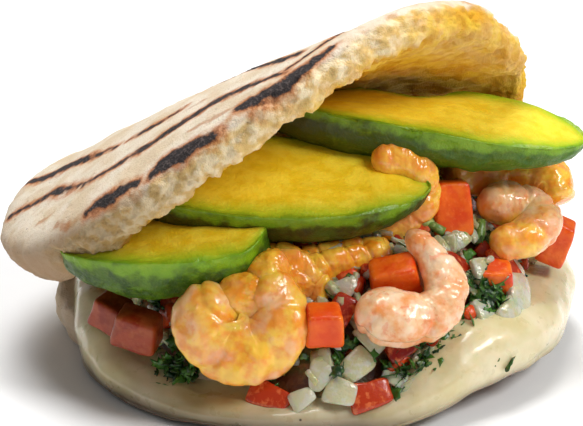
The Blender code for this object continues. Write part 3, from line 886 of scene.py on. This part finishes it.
def heap_points(angle, share, sink=0.0):
    """The heap of salsa: a steep mound whose edge hangs lower in front, sunk by sink."""
    back = rounded((np.sin(angle) - 0.1) / 0.6)
    front = rounded((0.1 - np.sin(angle)) / 1.0)
    middle = math.radians(SALSA_BULGE_AT[0])
    off = np.angle(np.exp(1j * (angle - middle)))
    outline = SALSA_RADIUS - SALSA_BACK_CUT * back + waves(angle, SALSA_WAVES)
    outline = outline + SALSA_BULGE * bump(off + middle, SALSA_BULGE_AT)
    edge = SALSA_EDGE - SALSA_DIP * front**2
    height = edge + (SALSA_TOP - edge) * (1 - share**2.4) + 1.2 * np.sin(9 * angle + 8 * share) * share
    return polar(SALSA_CENTRE, (outline - sink) * share, angle, height - sink)


def salsa_core():
    """The dark wet body of the heap that shows between the chopped pieces."""
    angle = around(220)
    share = np.linspace(0, 1, 46)[:, None]
    top = heap_points(angle, share, 2.0)
    rim = top[-1]
    under = [rim * (1 - k, 1 - k, 0) + np.array([2.0 * k, 1.5 * k, 4.0]) for k in (0.04, 0.4, 1.0)]
    points = np.concatenate([top, np.stack(under)])
    relief = 0.8 * (lumps(points, 3.5, 41) - 0.4) + 0.3 * noise(points, 1.5, 42)
    return closed_piece("salsa_core", points + outward(points) * relief[..., None])


def core_finish():
    """Dark, wet mixture of tomato juice and herbs."""
    finish = Finish("salsa_juice", roughness=0.25, coat_weight=0.4, coat_roughness=0.1)
    base = finish.mix(finish.mottle(4.0, 0.42, 0.6), srgb(110, 64, 38), srgb(84, 78, 40))
    base = finish.stain(base, finish.mottle(2.0, 0.5, 0.65), 0.6, srgb(158, 98, 60))
    finish.feed("Base Color", base)
    finish.bump(finish.grain(1.2, 0.4), 0.3, 0.6)
    return finish.material


def scattered(rng, count, low, high, near, far):
    """Places and outward normals of count random spots on the heap, between two angles in degrees
    and two shares of its radius."""
    angle = np.radians(rng.uniform(low, high, count))
    share = np.sqrt(rng.uniform(near**2, far**2, count))
    spot = heap_points(angle, share)
    along = heap_points(angle + 0.01, share) - spot
    out = heap_points(angle, share + 0.01) - spot
    normal = np.cross(out, along)
    normal /= np.linalg.norm(normal, axis=-1, keepdims=True)
    return spot, normal


def random_axes(rng, normal, tilt):
    """Three axes for each piece: the last near the normal, leaning by up to tilt, and spun about
    it at random. As columns of a matrix."""
    third = normal + tilt * rng.normal(size=normal.shape)
    third /= np.linalg.norm(third, axis=-1, keepdims=True)
    first = np.cross(third, rng.normal(size=normal.shape))
    first /= np.linalg.norm(first, axis=-1, keepdims=True)
    return np.stack([first, np.cross(third, first), third], -1)


def laid(shapes, axes, places):
    """Small shapes[n, i, j] turned to their axes and moved to their places."""
    return np.einsum("nij,nabj->nabi", axes, shapes) + places[:, None, None]


def slab_shapes(rng, sizes, curl, rough, stations=7, ring=8):
    """Chopped slabs: a rounded rectangle (a superellipse) carried along X, swelling and closing as
    a superellipse too, wider at one end, and bent by curl like a layer of onion.

    rough moves each point of a small slab at random; on a finely divided one it is a soft ripple.
    """
    lean = np.linspace(-math.pi / 2, math.pi / 2, stations)
    turn = (np.arange(ring) + 0.5) * 2 * math.pi / ring
    x = np.sign(np.sin(lean)) * np.abs(np.sin(lean)) ** 0.35
    scale = np.where(np.abs(x) > 0.999, 0.0, np.abs(np.cos(lean)) ** 0.35)
    y = scale[:, None] * np.sign(np.cos(turn)) * np.abs(np.cos(turn)) ** 0.35
    z = scale[:, None] * np.sign(np.sin(turn)) * np.abs(np.sin(turn)) ** 0.35
    unit = np.stack([x[:, None] + 0 * y, y, z], -1)
    shape = 0.5 * sizes[:, None, None, :] * unit[None]
    if ring > 8:
        spread = shape + 20 * np.arange(len(sizes))[:, None, None, None]
        ripple = np.stack([noise(spread, 3.2, 500 + k) for k in range(3)], -1)
        shape = shape + rough * sizes[:, None, None, :] * ripple
    else:
        shape[..., :2] *= 1 + rough * rng.normal(size=shape[..., :2].shape) * (scale > 0)[None, :, None, None]
    shape[..., 1] *= 1 + rng.uniform(-0.4, 0.4, (len(sizes), 1, 1)) * unit[..., 0][None]
    shape[..., 2] -= curl[:, None, None] * (shape[..., 0] ** 2 + 0.6 * shape[..., 1] ** 2)
    return shape


def placed(rng, table):
    """Larger listed slabs from (angle, share, lift, (length, width, height), curl, lean)."""
    angle, share, lift, sizes, curl, lean = (np.array(column) for column in zip(*table))
    angle = np.radians(angle)
    spot = heap_points(angle, share)
    out = np.stack([np.cos(angle), np.sin(angle), 0.6 + 0 * angle], -1)
    out /= np.linalg.norm(out, axis=-1, keepdims=True)
    along = np.stack([-np.sin(angle), np.cos(angle), 0 * angle], -1)
    up = np.cross(out, along)
    lean = np.radians(lean)[:, None]
    first = np.cos(lean) * along + np.sin(lean) * up
    axes = np.stack([first, np.cross(out, first), out], -1)
    shapes = slab_shapes(rng, sizes, curl, 0.07, 19, 28)
    return laid(shapes, axes, spot + out * lift[:, None]), shapes


def leaf_shapes(rng, size):
    """Torn herb leaves: a thin lens with a lobed, toothed outline, folded along its middle and
    curled at the edge."""
    ring = around(16)
    count = len(size)
    lobes = 0.62 + 0.3 * np.abs(np.cos(1.5 * ring)) ** 0.7 + 0.1 * np.cos(8 * ring)
    lobes = lobes[None] * (1 + 0.18 * rng.normal(size=(count, 16)))
    share = np.array([0, 0.55, 1.0, 0.55, 0])
    thick = np.array([0.16, 0.15, 0.0, -0.15, -0.16])
    reach = share[None, :, None] * lobes[:, None, :] * size[:, None, None]
    x, y = reach * np.cos(ring), 0.75 * reach * np.sin(ring)
    fold = rng.uniform(-0.25, 0.6, count)[:, None, None] * np.abs(y)
    curl = rng.uniform(-0.12, 0.16, count)[:, None, None] * x**2
    return np.stack([x, y, thick[None, :, None] + fold + curl], -1)


def stem_shapes(rng, length, radius):
    """Cut stems: a six-sided tube with square ends and a gentle bend."""
    ring = around(6)
    stations = np.array([-0.5, -0.5, -0.2, 0.2, 0.5, 0.5])
    scale = np.array([0.0, 1, 1, 1, 1, 0.0])
    x = length[:, None, None] * stations[None, :, None] + 0 * ring
    across = radius[:, None, None] * scale[None, :, None]
    bend = rng.uniform(-0.05, 0.05, len(length))[:, None, None] * x**2
    return np.stack([x, across * np.cos(ring), across * np.sin(ring) + bend], -1)


def piece_tint(rng, shapes):
    """One random value from 0 to 1 for each of many small shapes."""
    return rng.uniform(0, 1, len(shapes))[:, None, None] + 0 * shapes[..., 0]


def diced(seed, count, low, high, curl, sink):
    """Small dice over the visible sides of the heap, thickest towards its edge."""
    rng = np.random.default_rng(seed)
    spot, normal = scattered(rng, count, *SALSA_ROUND, 0.5, 0.94)
    sizes = rng.uniform(low, high, (count, 3))
    shapes = slab_shapes(rng, sizes, rng.uniform(0.0, curl, count), 0.07)
    places = spot + normal * rng.uniform(-sink, 0.9, count)[:, None]
    return laid(shapes, random_axes(rng, normal, 0.6), places), piece_tint(rng, shapes)


# angle in degrees, share of the radius, lift, (length, width, thickness), curl, lean in degrees
ONION_SLICES = (
    (-32, 0.88, 1.6, (11.5, 8.5, 2.4), 0.05, 62),
    (-25, 0.86, 1.4, (8.0, 5.5, 1.8), 0.08, 20),
    (-44, 0.88, 1.4, (8.5, 6.0, 1.8), 0.08, 80),
    (-18, 0.85, 1.2, (8.0, 5.0, 1.7), 0.08, 35),
    (-38, 0.9, 2.0, (8.0, 5.5, 1.6), 0.08, 15),
    (-51, 0.92, 1.6, (8.0, 5.0, 1.6), 0.08, 10),
    (-58, 0.95, 1.4, (8.0, 4.5, 1.5), 0.08, -40),
    (-67, 0.98, 1.6, (12.0, 5.5, 2.4), 0.05, 24),
    (-73, 0.97, 1.2, (7.0, 3.5, 1.3), 0.08, -30),
    (-83, 0.93, 1.8, (8.0, 6.0, 1.9), 0.08, 40),
    (-87, 0.98, 1.6, (7.5, 6.0, 1.7), 0.08, -20),
    (-79, 0.88, 1.8, (8.0, 3.5, 1.4), 0.08, -50),
    (-92, 0.93, 1.2, (7.0, 5.0, 1.7), 0.08, 70),
    (-96, 0.98, 1.0, (6.0, 4.0, 1.4), 0.08, 30),
    (-110, 0.94, 1.2, (7.0, 4.5, 1.5), 0.08, -60),
    (-121, 0.95, 1.4, (6.5, 5.0, 1.8), 0.08, 50),
    (-127, 0.92, 1.0, (6.0, 4.5, 1.6), 0.08, 10),
    (-84, 0.72, 1.4, (7.0, 4.5, 1.6), 0.08, 30),
    (-20, 0.76, 1.2, (8.0, 6.0, 1.8), 0.08, 70),
    (-9, 0.84, 1.2, (8.5, 5.0, 1.6), 0.08, 80),
    (-38, 0.78, 1.4, (7.5, 6.5, 1.8), 0.07, 75),
    (-2, 0.86, 1.4, (8.0, 5.5, 1.7), 0.08, 30),
    (6, 0.84, 1.4, (7.5, 5.5, 1.6), 0.08, -30),
)
TOMATO_SLICES = (
    (-80, 1.0, 0.6, (10.0, 6.5, 4.0), 0.02, 12),
    (-104, 0.99, 0.8, (10.5, 5.5, 4.0), 0.02, -14),
    (-70, 0.9, 0.4, (8.0, 5.5, 4.0), 0.02, 10),
    (-31, 0.83, 0.6, (8.5, 6.5, 4.0), 0.03, 5),
    (-86, 0.78, 0.6, (7.5, 6.0, 4.0), 0.02, 60),
    (-45, 0.72, 0.6, (9.0, 5.5, 4.0), 0.02, -60),
    (-12, 0.8, 0.4, (7.5, 5.5, 3.5), 0.02, 30),
    (-138, 0.86, 0.4, (8.0, 6.0, 4.0), 0.02, 20),
    (-118, 0.85, 0.4, (8.0, 6.0, 4.0), 0.02, -20),
)


def onion_bits():
    """Diced onion over the visible sides of the heap."""
    rows, tint = diced(11, 500, (3.0, 2.6, 1.1), (6.5, 5.0, 2.0), 0.07, 1.4)
    return closed_piece("onion_dice", rows, {"tint": tint}, smooth=False)


def onion_slices():
    """Larger curved pieces of onion at the edge of the heap."""
    rng = np.random.default_rng(21)
    rows, shapes = placed(rng, ONION_SLICES)
    return closed_piece("onion_slices", rows, {"tint": 0.6 * piece_tint(rng, shapes)})


def tomato_bits():
    """Small diced tomato over the visible sides of the heap."""
    rows, tint = diced(12, 135, (3.5, 3.0, 2.5), (6.5, 5.0, 4.0), 0.02, 1.8)
    return closed_piece("tomato_dice", rows, {"tint": tint}, smooth=False)


def tomato_slices():
    """Larger pieces of tomato at the edge of the heap."""
    rng = np.random.default_rng(22)
    rows, shapes = placed(rng, TOMATO_SLICES)
    return closed_piece("tomato_slices", rows, {"tint": 0.8 * piece_tint(rng, shapes)})


# angle in degrees, share of the heap's radius, spread in mm, number of leaves
HERB_CLUMPS = (
    (-64, 0.93, 3.0, 46),
    (-57, 0.88, 2.6, 20),
    (-46, 0.93, 3.0, 70),
    (-40, 0.82, 2.6, 50),
    (-14, 0.82, 2.8, 24),
    (-22, 0.78, 2.8, 20),
    (-2, 0.8, 2.6, 16),
    (-130, 0.98, 2.8, 40),
    (-124, 0.95, 2.4, 24),
    (-143, 0.93, 2.4, 18),
    (-50, 0.82, 3.0, 20),
    (-72, 0.97, 2.0, 22),
    (-90, 0.9, 2.4, 12),
    (-105, 0.96, 2.6, 12),
)


def herb_leaves():
    """Chopped herb leaves: some loose all over the heap, most in clumps."""
    rng = np.random.default_rng(13)
    loose = 225
    spot, normal = scattered(rng, loose, *SALSA_ROUND, 0.5, 0.92)
    places, normals = [spot + normal * rng.uniform(-0.4, 1.5, loose)[:, None]], [normal]
    for middle, share, spread, number in HERB_CLUMPS:
        wide = math.degrees(spread / 50.0)
        spot, normal = scattered(rng, number, middle - wide, middle + wide, share - 0.05, share + 0.05)
        places.append(spot + 0.3 * spread * rng.normal(size=spot.shape) + 0.9 * normal)
        normals.append(normal)
    places, normals = np.concatenate(places), np.concatenate(normals)
    shapes = leaf_shapes(rng, rng.uniform(1.1, 2.7, len(places)))
    rows = laid(shapes, random_axes(rng, normals, 0.9), places)
    return closed_piece("herb_leaves", rows, {"tint": piece_tint(rng, shapes)})


def herb_stems():
    """Short pieces of green stem among the onion."""
    rng = np.random.default_rng(14)
    count = 46
    spot, normal = scattered(rng, count, -190, 30, 0.55, 0.94)
    shapes = stem_shapes(rng, rng.uniform(3.5, 7.5, count), rng.uniform(0.6, 1.3, count))
    places = spot + normal * rng.uniform(0.0, 1.2, count)[:, None]
    axes = random_axes(rng, normal, 0.3)
    rows = laid(shapes, axes, places)
    return closed_piece("herb_stems", rows, {"tint": piece_tint(rng, shapes)})


def onion_finish():
    """Translucent onion, from greenish white to a faint pink, darker in patches."""
    finish = Finish(
        "diced_onion", roughness=0.1, transmission_weight=0.5, subsurface_weight=0.3, subsurface_scale=0.002
    )
    base = finish.mix(finish.ramp(finish.mark("tint"), 0.1, 0.7), srgb(250, 244, 206), srgb(232, 230, 170))
    base = finish.mix(finish.ramp(finish.mark("tint"), 0.82, 0.95), base, srgb(240, 205, 172))
    base = finish.stain(base, finish.mottle(2.2, 0.45, 0.62), 0.7, srgb(255, 252, 240))
    finish.feed("Base Color", base)
    finish.bump(finish.grain(1.4, 0.3), 0.35, 0.7)
    return finish.material


def herb_finish():
    """Dark wet green leaves with paler, yellower patches."""
    finish = Finish("chopped_herb", roughness=0.32, coat_weight=0.2, coat_roughness=0.15)
    base = finish.mix(finish.ramp(finish.mark("tint"), 0.2, 0.9), srgb(18, 56, 14), srgb(58, 112, 26))
    base = finish.stain(base, finish.mottle(1.2, 0.5, 0.7), 0.6, srgb(104, 142, 62))
    finish.feed("Base Color", base)
    finish.bump(finish.grain(0.5, 0.2), 0.12, 0.6)
    return finish.material


def stem_finish():
    """Pale to mid green stem."""
    finish = Finish("herb_stem", roughness=0.35, subsurface_weight=0.2, subsurface_scale=0.001)
    base = finish.mix(finish.mark("tint"), srgb(92, 128, 48), srgb(164, 182, 96))
    base = finish.stain(base, finish.mottle(0.8, 0.5, 0.7), 0.5, srgb(190, 202, 132))
    finish.feed("Base Color", base)
    finish.bump(finish.grain(0.4, 0.1), 0.1, 0.5)
    return finish.material


# ---------------------------------------------------------------- tomato chunks


def ball(rows, ring):
    """Unit directions over a ball, from pole to pole."""
    rise = np.linspace(-math.pi / 2, math.pi / 2, rows)[:, None]
    turn = around(ring)
    return np.stack([np.cos(rise) * np.cos(turn), np.cos(rise) * np.sin(turn), np.sin(rise) + 0 * turn], -1)


def tomato_chunk(name, size, place, turn, skin, seed):
    """A chopped chunk: a ball drawn out to a rounded block, narrower at the top, softly dented.

    skin is 1 on its front and top faces up to the given share.
    """
    way = ball(60, 84)
    block = way / (np.abs(way) ** 9).sum(-1, keepdims=True) ** (1 / 9)
    points = 0.5 * block * np.array(size)
    points[..., :2] *= 0.925 - 0.075 * block[..., 2:3]
    dents = 0.3 * noise(points + 50 * seed, 4.0, seed) + 0.08 * noise(points, 1.2, seed)
    points = points + way * dents[..., None]
    facing = np.maximum(-block[..., 1], block[..., 2] * 0.98)
    marks = {"skin": rounded((facing - 0.9) / 0.08) * skin}
    return closed_piece(name, turned_points(points, place, turn), marks)


def tomato_finish(name, painted_shade_share):
    """Orange-red skin and redder, wetter flesh with pale streaks. Painted shade, in the given share, turns a
    chunk dark red.
    """
    finish = Finish(name, roughness=0.36, specular_ior_level=0.3, coat_weight=0.12, coat_roughness=0.06)
    flesh = finish.mix(finish.mottle(3.2, 0.4, 0.62), srgb(216, 50, 2), srgb(240, 120, 24))
    flesh = finish.stain(flesh, finish.mottle(1.0, 0.55, 0.7), 0.5, srgb(250, 160, 90))
    skin = finish.mix(finish.mottle(5.0, 0.35, 0.65), srgb(232, 76, 8), srgb(244, 106, 20))
    base = finish.mix(finish.mark("skin"), flesh, skin)
    # painted shade: the deep red of a chunk that lies in shadow
    painted_shade_tomato = finish.mix(finish.mottle(4.0, 0.38, 0.6), srgb(96, 10, 2), srgb(138, 62, 34))
    base = finish.mix(painted_shade_share, base, painted_shade_tomato)
    finish.feed("Base Color", base)
    finish.bump(finish.grain(1.1, 0.2), 0.22, 0.5)
    return finish.material


def dice_finish():
    """Small tomato dice, from deep red to orange."""
    finish = Finish("diced_tomato", roughness=0.26, specular_ior_level=0.35)
    finish.fix(coat_weight=0.25, coat_roughness=0.06)
    base = finish.mix(finish.mark("tint"), srgb(134, 16, 6), srgb(218, 74, 22))
    base = finish.stain(base, finish.mottle(1.6, 0.5, 0.66), 0.5, srgb(236, 130, 72))
    finish.feed("Base Color", base)
    finish.bump(finish.grain(0.9, 0.2), 0.2, 0.5)
    return finish.material


# ---------------------------------------------------------------- shrimp


def shrimp_flesh(name, head_radius, tail_radius, sauce, belly, spine, seed):
    """A peeled shrimp: a tube along its spine with rounded ends. Body rings swell between shallow
    grooves, the back carries a slit, and sauce clings in lumps.

    stripe is the orange banding of the back, sauce the share of sauce on the surface.
    """
    count = 170
    knots = np.array(spine, float)
    path = through(knots, np.linspace(0, len(knots) - 1, count))
    share = np.linspace(0, 1, count)
    ahead = np.gradient(path, axis=0)
    ahead /= np.linalg.norm(ahead, axis=1, keepdims=True)
    across = np.cross(path[-1] - path[count // 2], path[0] - path[count // 2])
    across /= np.linalg.norm(across)
    out = np.cross(ahead, across)
    out /= np.linalg.norm(out, axis=1, keepdims=True)
    side = np.cross(out, ahead)
    head = np.sqrt(1 - (1 - np.clip(share / HEAD_END, 0, 1)) ** 2)
    tail = np.sqrt(1 - (1 - np.clip((1 - share) / TAIL_END, 0, 1)) ** 2)
    radius = ((head_radius + (tail_radius - head_radius) * share**1.3) * head * tail)[:, None]
    share = share[:, None]
    ring = around(76)
    back = np.cos(ring)
    off = np.abs(np.angle(np.exp(1j * ring)))

    wavy = 0.14 * np.cos(2 * ring) + 0.3 * noise(path, 7.0, seed + 5)[:, None]
    phase = (BODY_RINGS * share + wavy) % 1.0
    groove = np.exp(-(((phase - 0.5) / 0.1) ** 2)) * (0.45 + 0.55 * back) * (share < 0.9)
    slit = np.exp(-((off / 0.2) ** 2)) * rounded((share - 0.03) / 0.1) * rounded((0.8 - share) / 0.1)
    swollen = np.exp(-(((math.pi - off) / 0.75) ** 2)) * rounded(share / 0.2) * rounded((1 - share) / 0.3)
    form = 1 - 0.13 * groove - 0.16 * slit + 0.05 * np.exp(-(((off - 0.5) / 0.3) ** 2)) + belly * swollen
    wheel = back[None, :, None] * out[:, None] + np.sin(ring)[None, :, None] * side[:, None]
    points = path[:, None] + (radius * form)[..., None] * wheel

    clings = rounded((0.5 * noise(points, 7.0, seed) + sauce - 0.25) / 0.5)
    relief = 0.6 * noise(points, 4.6, seed + 1) + 0.16 * layered(points, 1.5, seed + 2)
    relief = relief + 0.5 * np.abs(noise(points, 6.5, seed + 6))
    relief = relief + clings * 0.8 * (lumps(points, 4.6, seed + 3) - 0.4)
    points = points + wheel * (relief * np.minimum(radius / 3.0, 1.0))[..., None]
    stripe = np.exp(-(((phase - 0.42) / 0.09) ** 2)) * rounded((back + 0.7) / 0.9)
    marks = {"stripe": stripe * (0.8 + 0.6 * noise(points, 2.5, seed + 4)), "sauce": clings}
    return closed_piece(name, points, marks)


def sauce_lump(name, place, size, turn, seed):
    """A clot of thick mashed sauce: a ball drawn out to the given size and roughened all over."""
    way = ball(110, 150)
    points = 0.5 * way * np.array(size)
    relief = 0.9 * noise(points, 5.0, seed) + 0.8 * (lumps(points, 4.2, seed + 1) - 0.35)
    relief = relief + 0.25 * layered(points, 1.6, seed + 2)
    points = turned_points(points + way * relief[..., None], place, turn)
    plain = 0 * points[..., 0]
    return closed_piece(name, points, {"stripe": plain, "sauce": plain + 1})


def shrimp_finish(name, warm):
    """Cooked shrimp: pinkish white flesh with orange bands and fine red-orange spots, under patches
    of glossy yellow-orange sauce. A warm one is amber all over."""
    finish = Finish(name, roughness=0.26, specular_ior_level=0.45, coat_weight=0.5, coat_roughness=0.07)
    finish.fix(subsurface_weight=0.3, subsurface_scale=0.003)
    white = finish.mix(finish.mottle(5.0, 0.36, 0.62), srgb(238, 160, 96), srgb(250, 214, 172))
    white = finish.stain(white, finish.mottle(3.2, 0.42, 0.66), 0.45, srgb(255, 238, 216))
    amber = finish.mix(finish.mottle(6.0, 0.35, 0.65), srgb(228, 126, 22), srgb(250, 178, 60))
    base = finish.mix(warm, white, amber)
    base = finish.stain(base, finish.mark("stripe"), 0.6, srgb(240, 124, 40))
    spots = finish.times(finish.mottle(1.3, 0.54, 0.62), finish.mottle(4.0, 0.44, 0.58))
    base = finish.stain(base, spots, 0.35, srgb(232, 96, 24))
    glaze = finish.mix(finish.mottle(4.0, 0.38, 0.62), srgb(244, 148, 12), srgb(255, 204, 64))
    share = finish.times(finish.mark("sauce"), finish.ramp(finish.mottle(5.5, 0.32, 0.6), -0.2, 0.8))
    base = finish.mix(finish.times(share, 0.85), base, glaze)
    finish.feed("Base Color", base)
    finish.bump(finish.grain(2.4, 0.4), 0.4, 0.6)
    return finish.material


# ---------------------------------------------------------------- avocado


def avocado_flesh(name, painted_side_shade, length, half_width, depth, kept, hollow, sag, twist, place, turn, seed):
    """A lengthwise slice: a nearly flat cut face on top, a rounded side below, pointed ends.

    Knife streaks run along the cut face and the side is lumpy. depth_in is the distance in from
    the peeled side, which the colour follows, and painted shade darkens the side where it lies in shadow.
    A kept share below 1 ends in a blunt wedge of flesh.
    """
    ring = around(132)
    end, count = (math.pi / 2, 190) if kept >= 1 else (math.asin(2 * kept - 1), 176)
    reach = np.sin(np.linspace(-math.pi / 2, end, count))[:, None]
    swell = np.maximum(1 - reach**2, 0.0) ** 0.6
    up, wide = np.sin(ring), np.cos(ring)
    pit = 1 - hollow * np.exp(-((reach / 0.25) ** 2))
    full = np.where(up > 0, wide, np.sign(wide) * np.abs(wide) ** 0.6)
    across = half_width * swell * full * np.where(wide > 0, pit, 1.0)
    side = np.abs(up) ** 0.8
    height = np.where(up > 0, 0.08 * depth * swell * side, -depth * swell**0.8 * side)
    points = np.stack([0.5 * length * reach + 0 * across, across, height], -1)
    from_edge = half_width * swell * (1 - np.abs(wide))
    inside = np.where(up > 0, SKIN + from_edge, SKIN * (1 - rounded(-up / 0.35)))
    if kept < 1:
        cut = points[-1]
        out = np.sin(np.linspace(0, math.pi / 2, 26))[1:, None, None]
        narrow = 1 - (1 - NOSE[1]) * out**1.5
        shrink = np.where(out < 0.97, narrow, (1 - out) / 0.03 * NOSE[1])
        nose = [cut[..., :1] + NOSE[0] * out, cut[..., 1:2] * shrink, cut[..., 2:] * (1 - 0.12 * out)]
        nose = np.concatenate(nose, -1)
        nose[-1] = nose[-2].mean(0)
        points = np.concatenate([points, nose])
        from_skin = inside[-1] + 7.0 * rounded(out[..., 0] / 0.5) * rounded((wide + 0.75) / 0.5)
        inside = np.concatenate([inside, from_skin])
    along = points[..., 0] / (0.5 * length)
    angle = np.radians(np.interp(along, (-1, 1), twist))
    y = points[..., 1] * np.cos(angle) - points[..., 2] * np.sin(angle)
    z = points[..., 1] * np.sin(angle) + points[..., 2] * np.cos(angle)
    points = np.stack([points[..., 0], y, z - sag * along**2], -1)

    cut_face = rounded((inside - 1.2) / 1.0)
    streaks = 0.09 * noise(points * (0.08, 1, 0.3), 0.9, seed) + 0.45 * noise(points, 9.0, seed + 1)
    streaks = streaks + 0.1 * layered(points * (0.5, 1, 1), 2.2, seed + 4)
    bumpy = 0.5 * noise(points, 5.0, seed + 2) + 0.22 * layered(points * (0.6, 1, 1), 1.8, seed + 3)
    relief = streaks * cut_face + bumpy * (1 - cut_face)
    points = points + outward(points) * relief[..., None]
    # painted shade along the slice's side, from its left end to its right end
    marks = {"depth_in": inside, "painted_side_shade": np.interp(along, (-0.8, 0.25, 0.9), painted_side_shade)}
    return closed_piece(name, turned_points(points, place, turn), marks)


def avocado_finish(name, gold, dark):
    """Avocado: dark green at the peeled side, through bright green, to the yellow of the middle."""
    finish = Finish(name, roughness=0.36, specular_ior_level=0.35)
    finish.fix(subsurface_weight=0.1, subsurface_scale=0.002)
    wander = finish.times(finish.maths("SUBTRACT", finish.mottle(5.0, 0.2, 0.8), 0.5), 1.3)
    depth = finish.maths("ADD", finish.mark("depth_in"), wander)
    side = finish.mix(finish.mottle(4.5, 0.38, 0.62), dark, srgb(80, 118, 10))
    side = finish.stain(side, finish.mottle(1.1, 0.5, 0.66), 0.4, srgb(104, 134, 26))
    # painted shade: the side and its bright green rim darken to brown where the slice lies in shadow
    side = finish.stain(side, finish.mark("painted_side_shade"), 0.95, srgb(48, 36, 6))
    rim = finish.mix(finish.times(finish.mark("painted_side_shade"), 0.5), srgb(120, 164, 20), srgb(80, 84, 16))
    base = finish.mix(finish.ramp(depth, 0.3, 1.1), side, rim)
    base = finish.mix(finish.ramp(depth, 0.9, 3.0), base, srgb(176, 194, 34))
    base = finish.mix(finish.ramp(depth, 2.2, 8.5), base, gold)
    patches = finish.mix(finish.mottle(3.5, 0.35, 0.65), srgb(222, 178, 30), srgb(255, 232, 90))
    base = finish.mix(finish.times(finish.ramp(depth, 2.0, 6.0), 0.35), base, patches)
    finish.feed("Base Color", base)
    finish.bump(finish.grain(1.1, 0.3), 0.3, 0.7)
    return finish.material


# ---------------------------------------------------------------- put it together


def build_bread_and_cheese():
    bread = bread_finish()
    dress(upper_half(), bread, "corn_bread", "arepa_bread")
    dress(lower_half(), bread, "corn_bread", "arepa_bread")
    dress(cheese(), cheese_finish(), "cheese", "cheese_slab")


def build_salsa():
    onion, dice = onion_finish(), dice_finish()
    for piece, material in (
        (salsa_core(), core_finish()),
        (onion_bits(), onion),
        (onion_slices(), onion),
        (tomato_bits(), dice),
        (tomato_slices(), dice),
        (herb_leaves(), herb_finish()),
        (herb_stems(), stem_finish()),
    ):
        dress(piece, material, "salsa", "salsa_heap")


def build_filling():
    # the second tomato material is darkened by painted shade, for the chunks that lie in shadow
    fresh, painted_shade_tomato = tomato_finish("tomato_fresh", 0.0), tomato_finish("tomato_in_painted_shade", 0.85)
    for seed, (node, (size, place, turn, skin)) in enumerate(TOMATOES.items()):
        chunk = tomato_chunk(node + "_chunk", size, place, turn, skin, 60 + seed)
        dress(chunk, painted_shade_tomato if node in TOMATOES_IN_PAINTED_SHADE else fresh, "tomato", node)
    pale = shrimp_finish("shrimp_pale", 0.08)
    amber = shrimp_finish("shrimp_amber", 0.85)
    golden = shrimp_finish("shrimp_golden", 0.45)
    looks = {"shrimp_front_right": pale, "shrimp_front_left": golden, "shrimp_right": golden}
    for seed, (node, values) in enumerate(SHRIMPS.items()):
        flesh = shrimp_flesh(node + "_flesh", *values, 80 + 7 * seed)
        dress(flesh, looks.get(node, amber), "shrimp", node)
    for seed, (name, node, place, size, turn) in enumerate(SAUCE_LUMPS):
        dress(sauce_lump(name, place, size, turn, 200 + 5 * seed), amber, "shrimp", node)
    for seed, (node, values) in enumerate(AVOCADOS.items()):
        gold, dark = (srgb(*colour) for colour in AVOCADO_COLOURS[node])
        flesh = avocado_flesh(node + "_flesh", PAINTED_SIDE_SHADE[node], *values, 140 + 7 * seed)
        dress(flesh, avocado_finish(node + "_look", gold, dark), "avocado", node)


def lay_floor():
    """A pale floor 6 m across."""
    mesh = bpy.data.meshes.new("floor")
    half = 3.0
    corners = [(-half, -half, 0), (half, -half, 0), (half, half, 0), (-half, half, 0)]
    mesh.from_pydata(corners, [], [(0, 1, 2, 3)])
    floor = bpy.data.objects.new("floor", mesh)
    bpy.context.scene.collection.objects.link(floor)
    paper = Finish("pale_floor", roughness=0.9)
    white = paper.mix(paper.mottle(60.0, 0.3, 0.7), srgb(250, 250, 250), srgb(247, 247, 247))
    paper.feed("Base Color", white)
    mesh.materials.append(paper.material)


def hang_lamps():
    """A soft white surround and two broad lamps: one high on the right in front, one overhead."""
    scene = bpy.context.scene
    scene.view_settings.view_transform = "Standard"
    world = bpy.data.worlds.new("soft_white")
    world.use_nodes = True
    surround = world.node_tree.nodes["Background"]
    surround.inputs["Color"].default_value = (1, 1, 1, 1)
    surround.inputs["Strength"].default_value = 0.2
    scene.world = world
    for name, (place, size, power) in LAMPS.items():
        lamp = bpy.data.lights.new(name, "AREA")
        lamp.size = size
        lamp.energy = power
        holder = bpy.data.objects.new(name, lamp)
        holder.location = place
        aim = Vector((0, 0, 0.03)) - Vector(place)
        holder.rotation_euler = aim.to_track_quat("-Z", "Y").to_euler()
        scene.collection.objects.link(holder)


def set_camera():
    """A long lens that looks along +Y, from above."""
    rise = math.radians(CAMERA_RISE)
    away = Vector((0, -math.cos(rise), math.sin(rise)))
    lens = bpy.data.cameras.new("camera")
    lens.lens = 120
    lens.sensor_width = 36
    lens.clip_start = 0.01
    holder = bpy.data.objects.new("camera", lens)
    holder.location = Vector(CAMERA_TARGET) + Vector(SHIFT) + CAMERA_AWAY * away
    holder.rotation_euler = (-away).to_track_quat("-Z", "Y").to_euler()
    bpy.context.scene.collection.objects.link(holder)
    bpy.context.scene.camera = holder


build_bread_and_cheese()
build_salsa()
build_filling()
lay_floor()
hang_lamps()
set_camera()
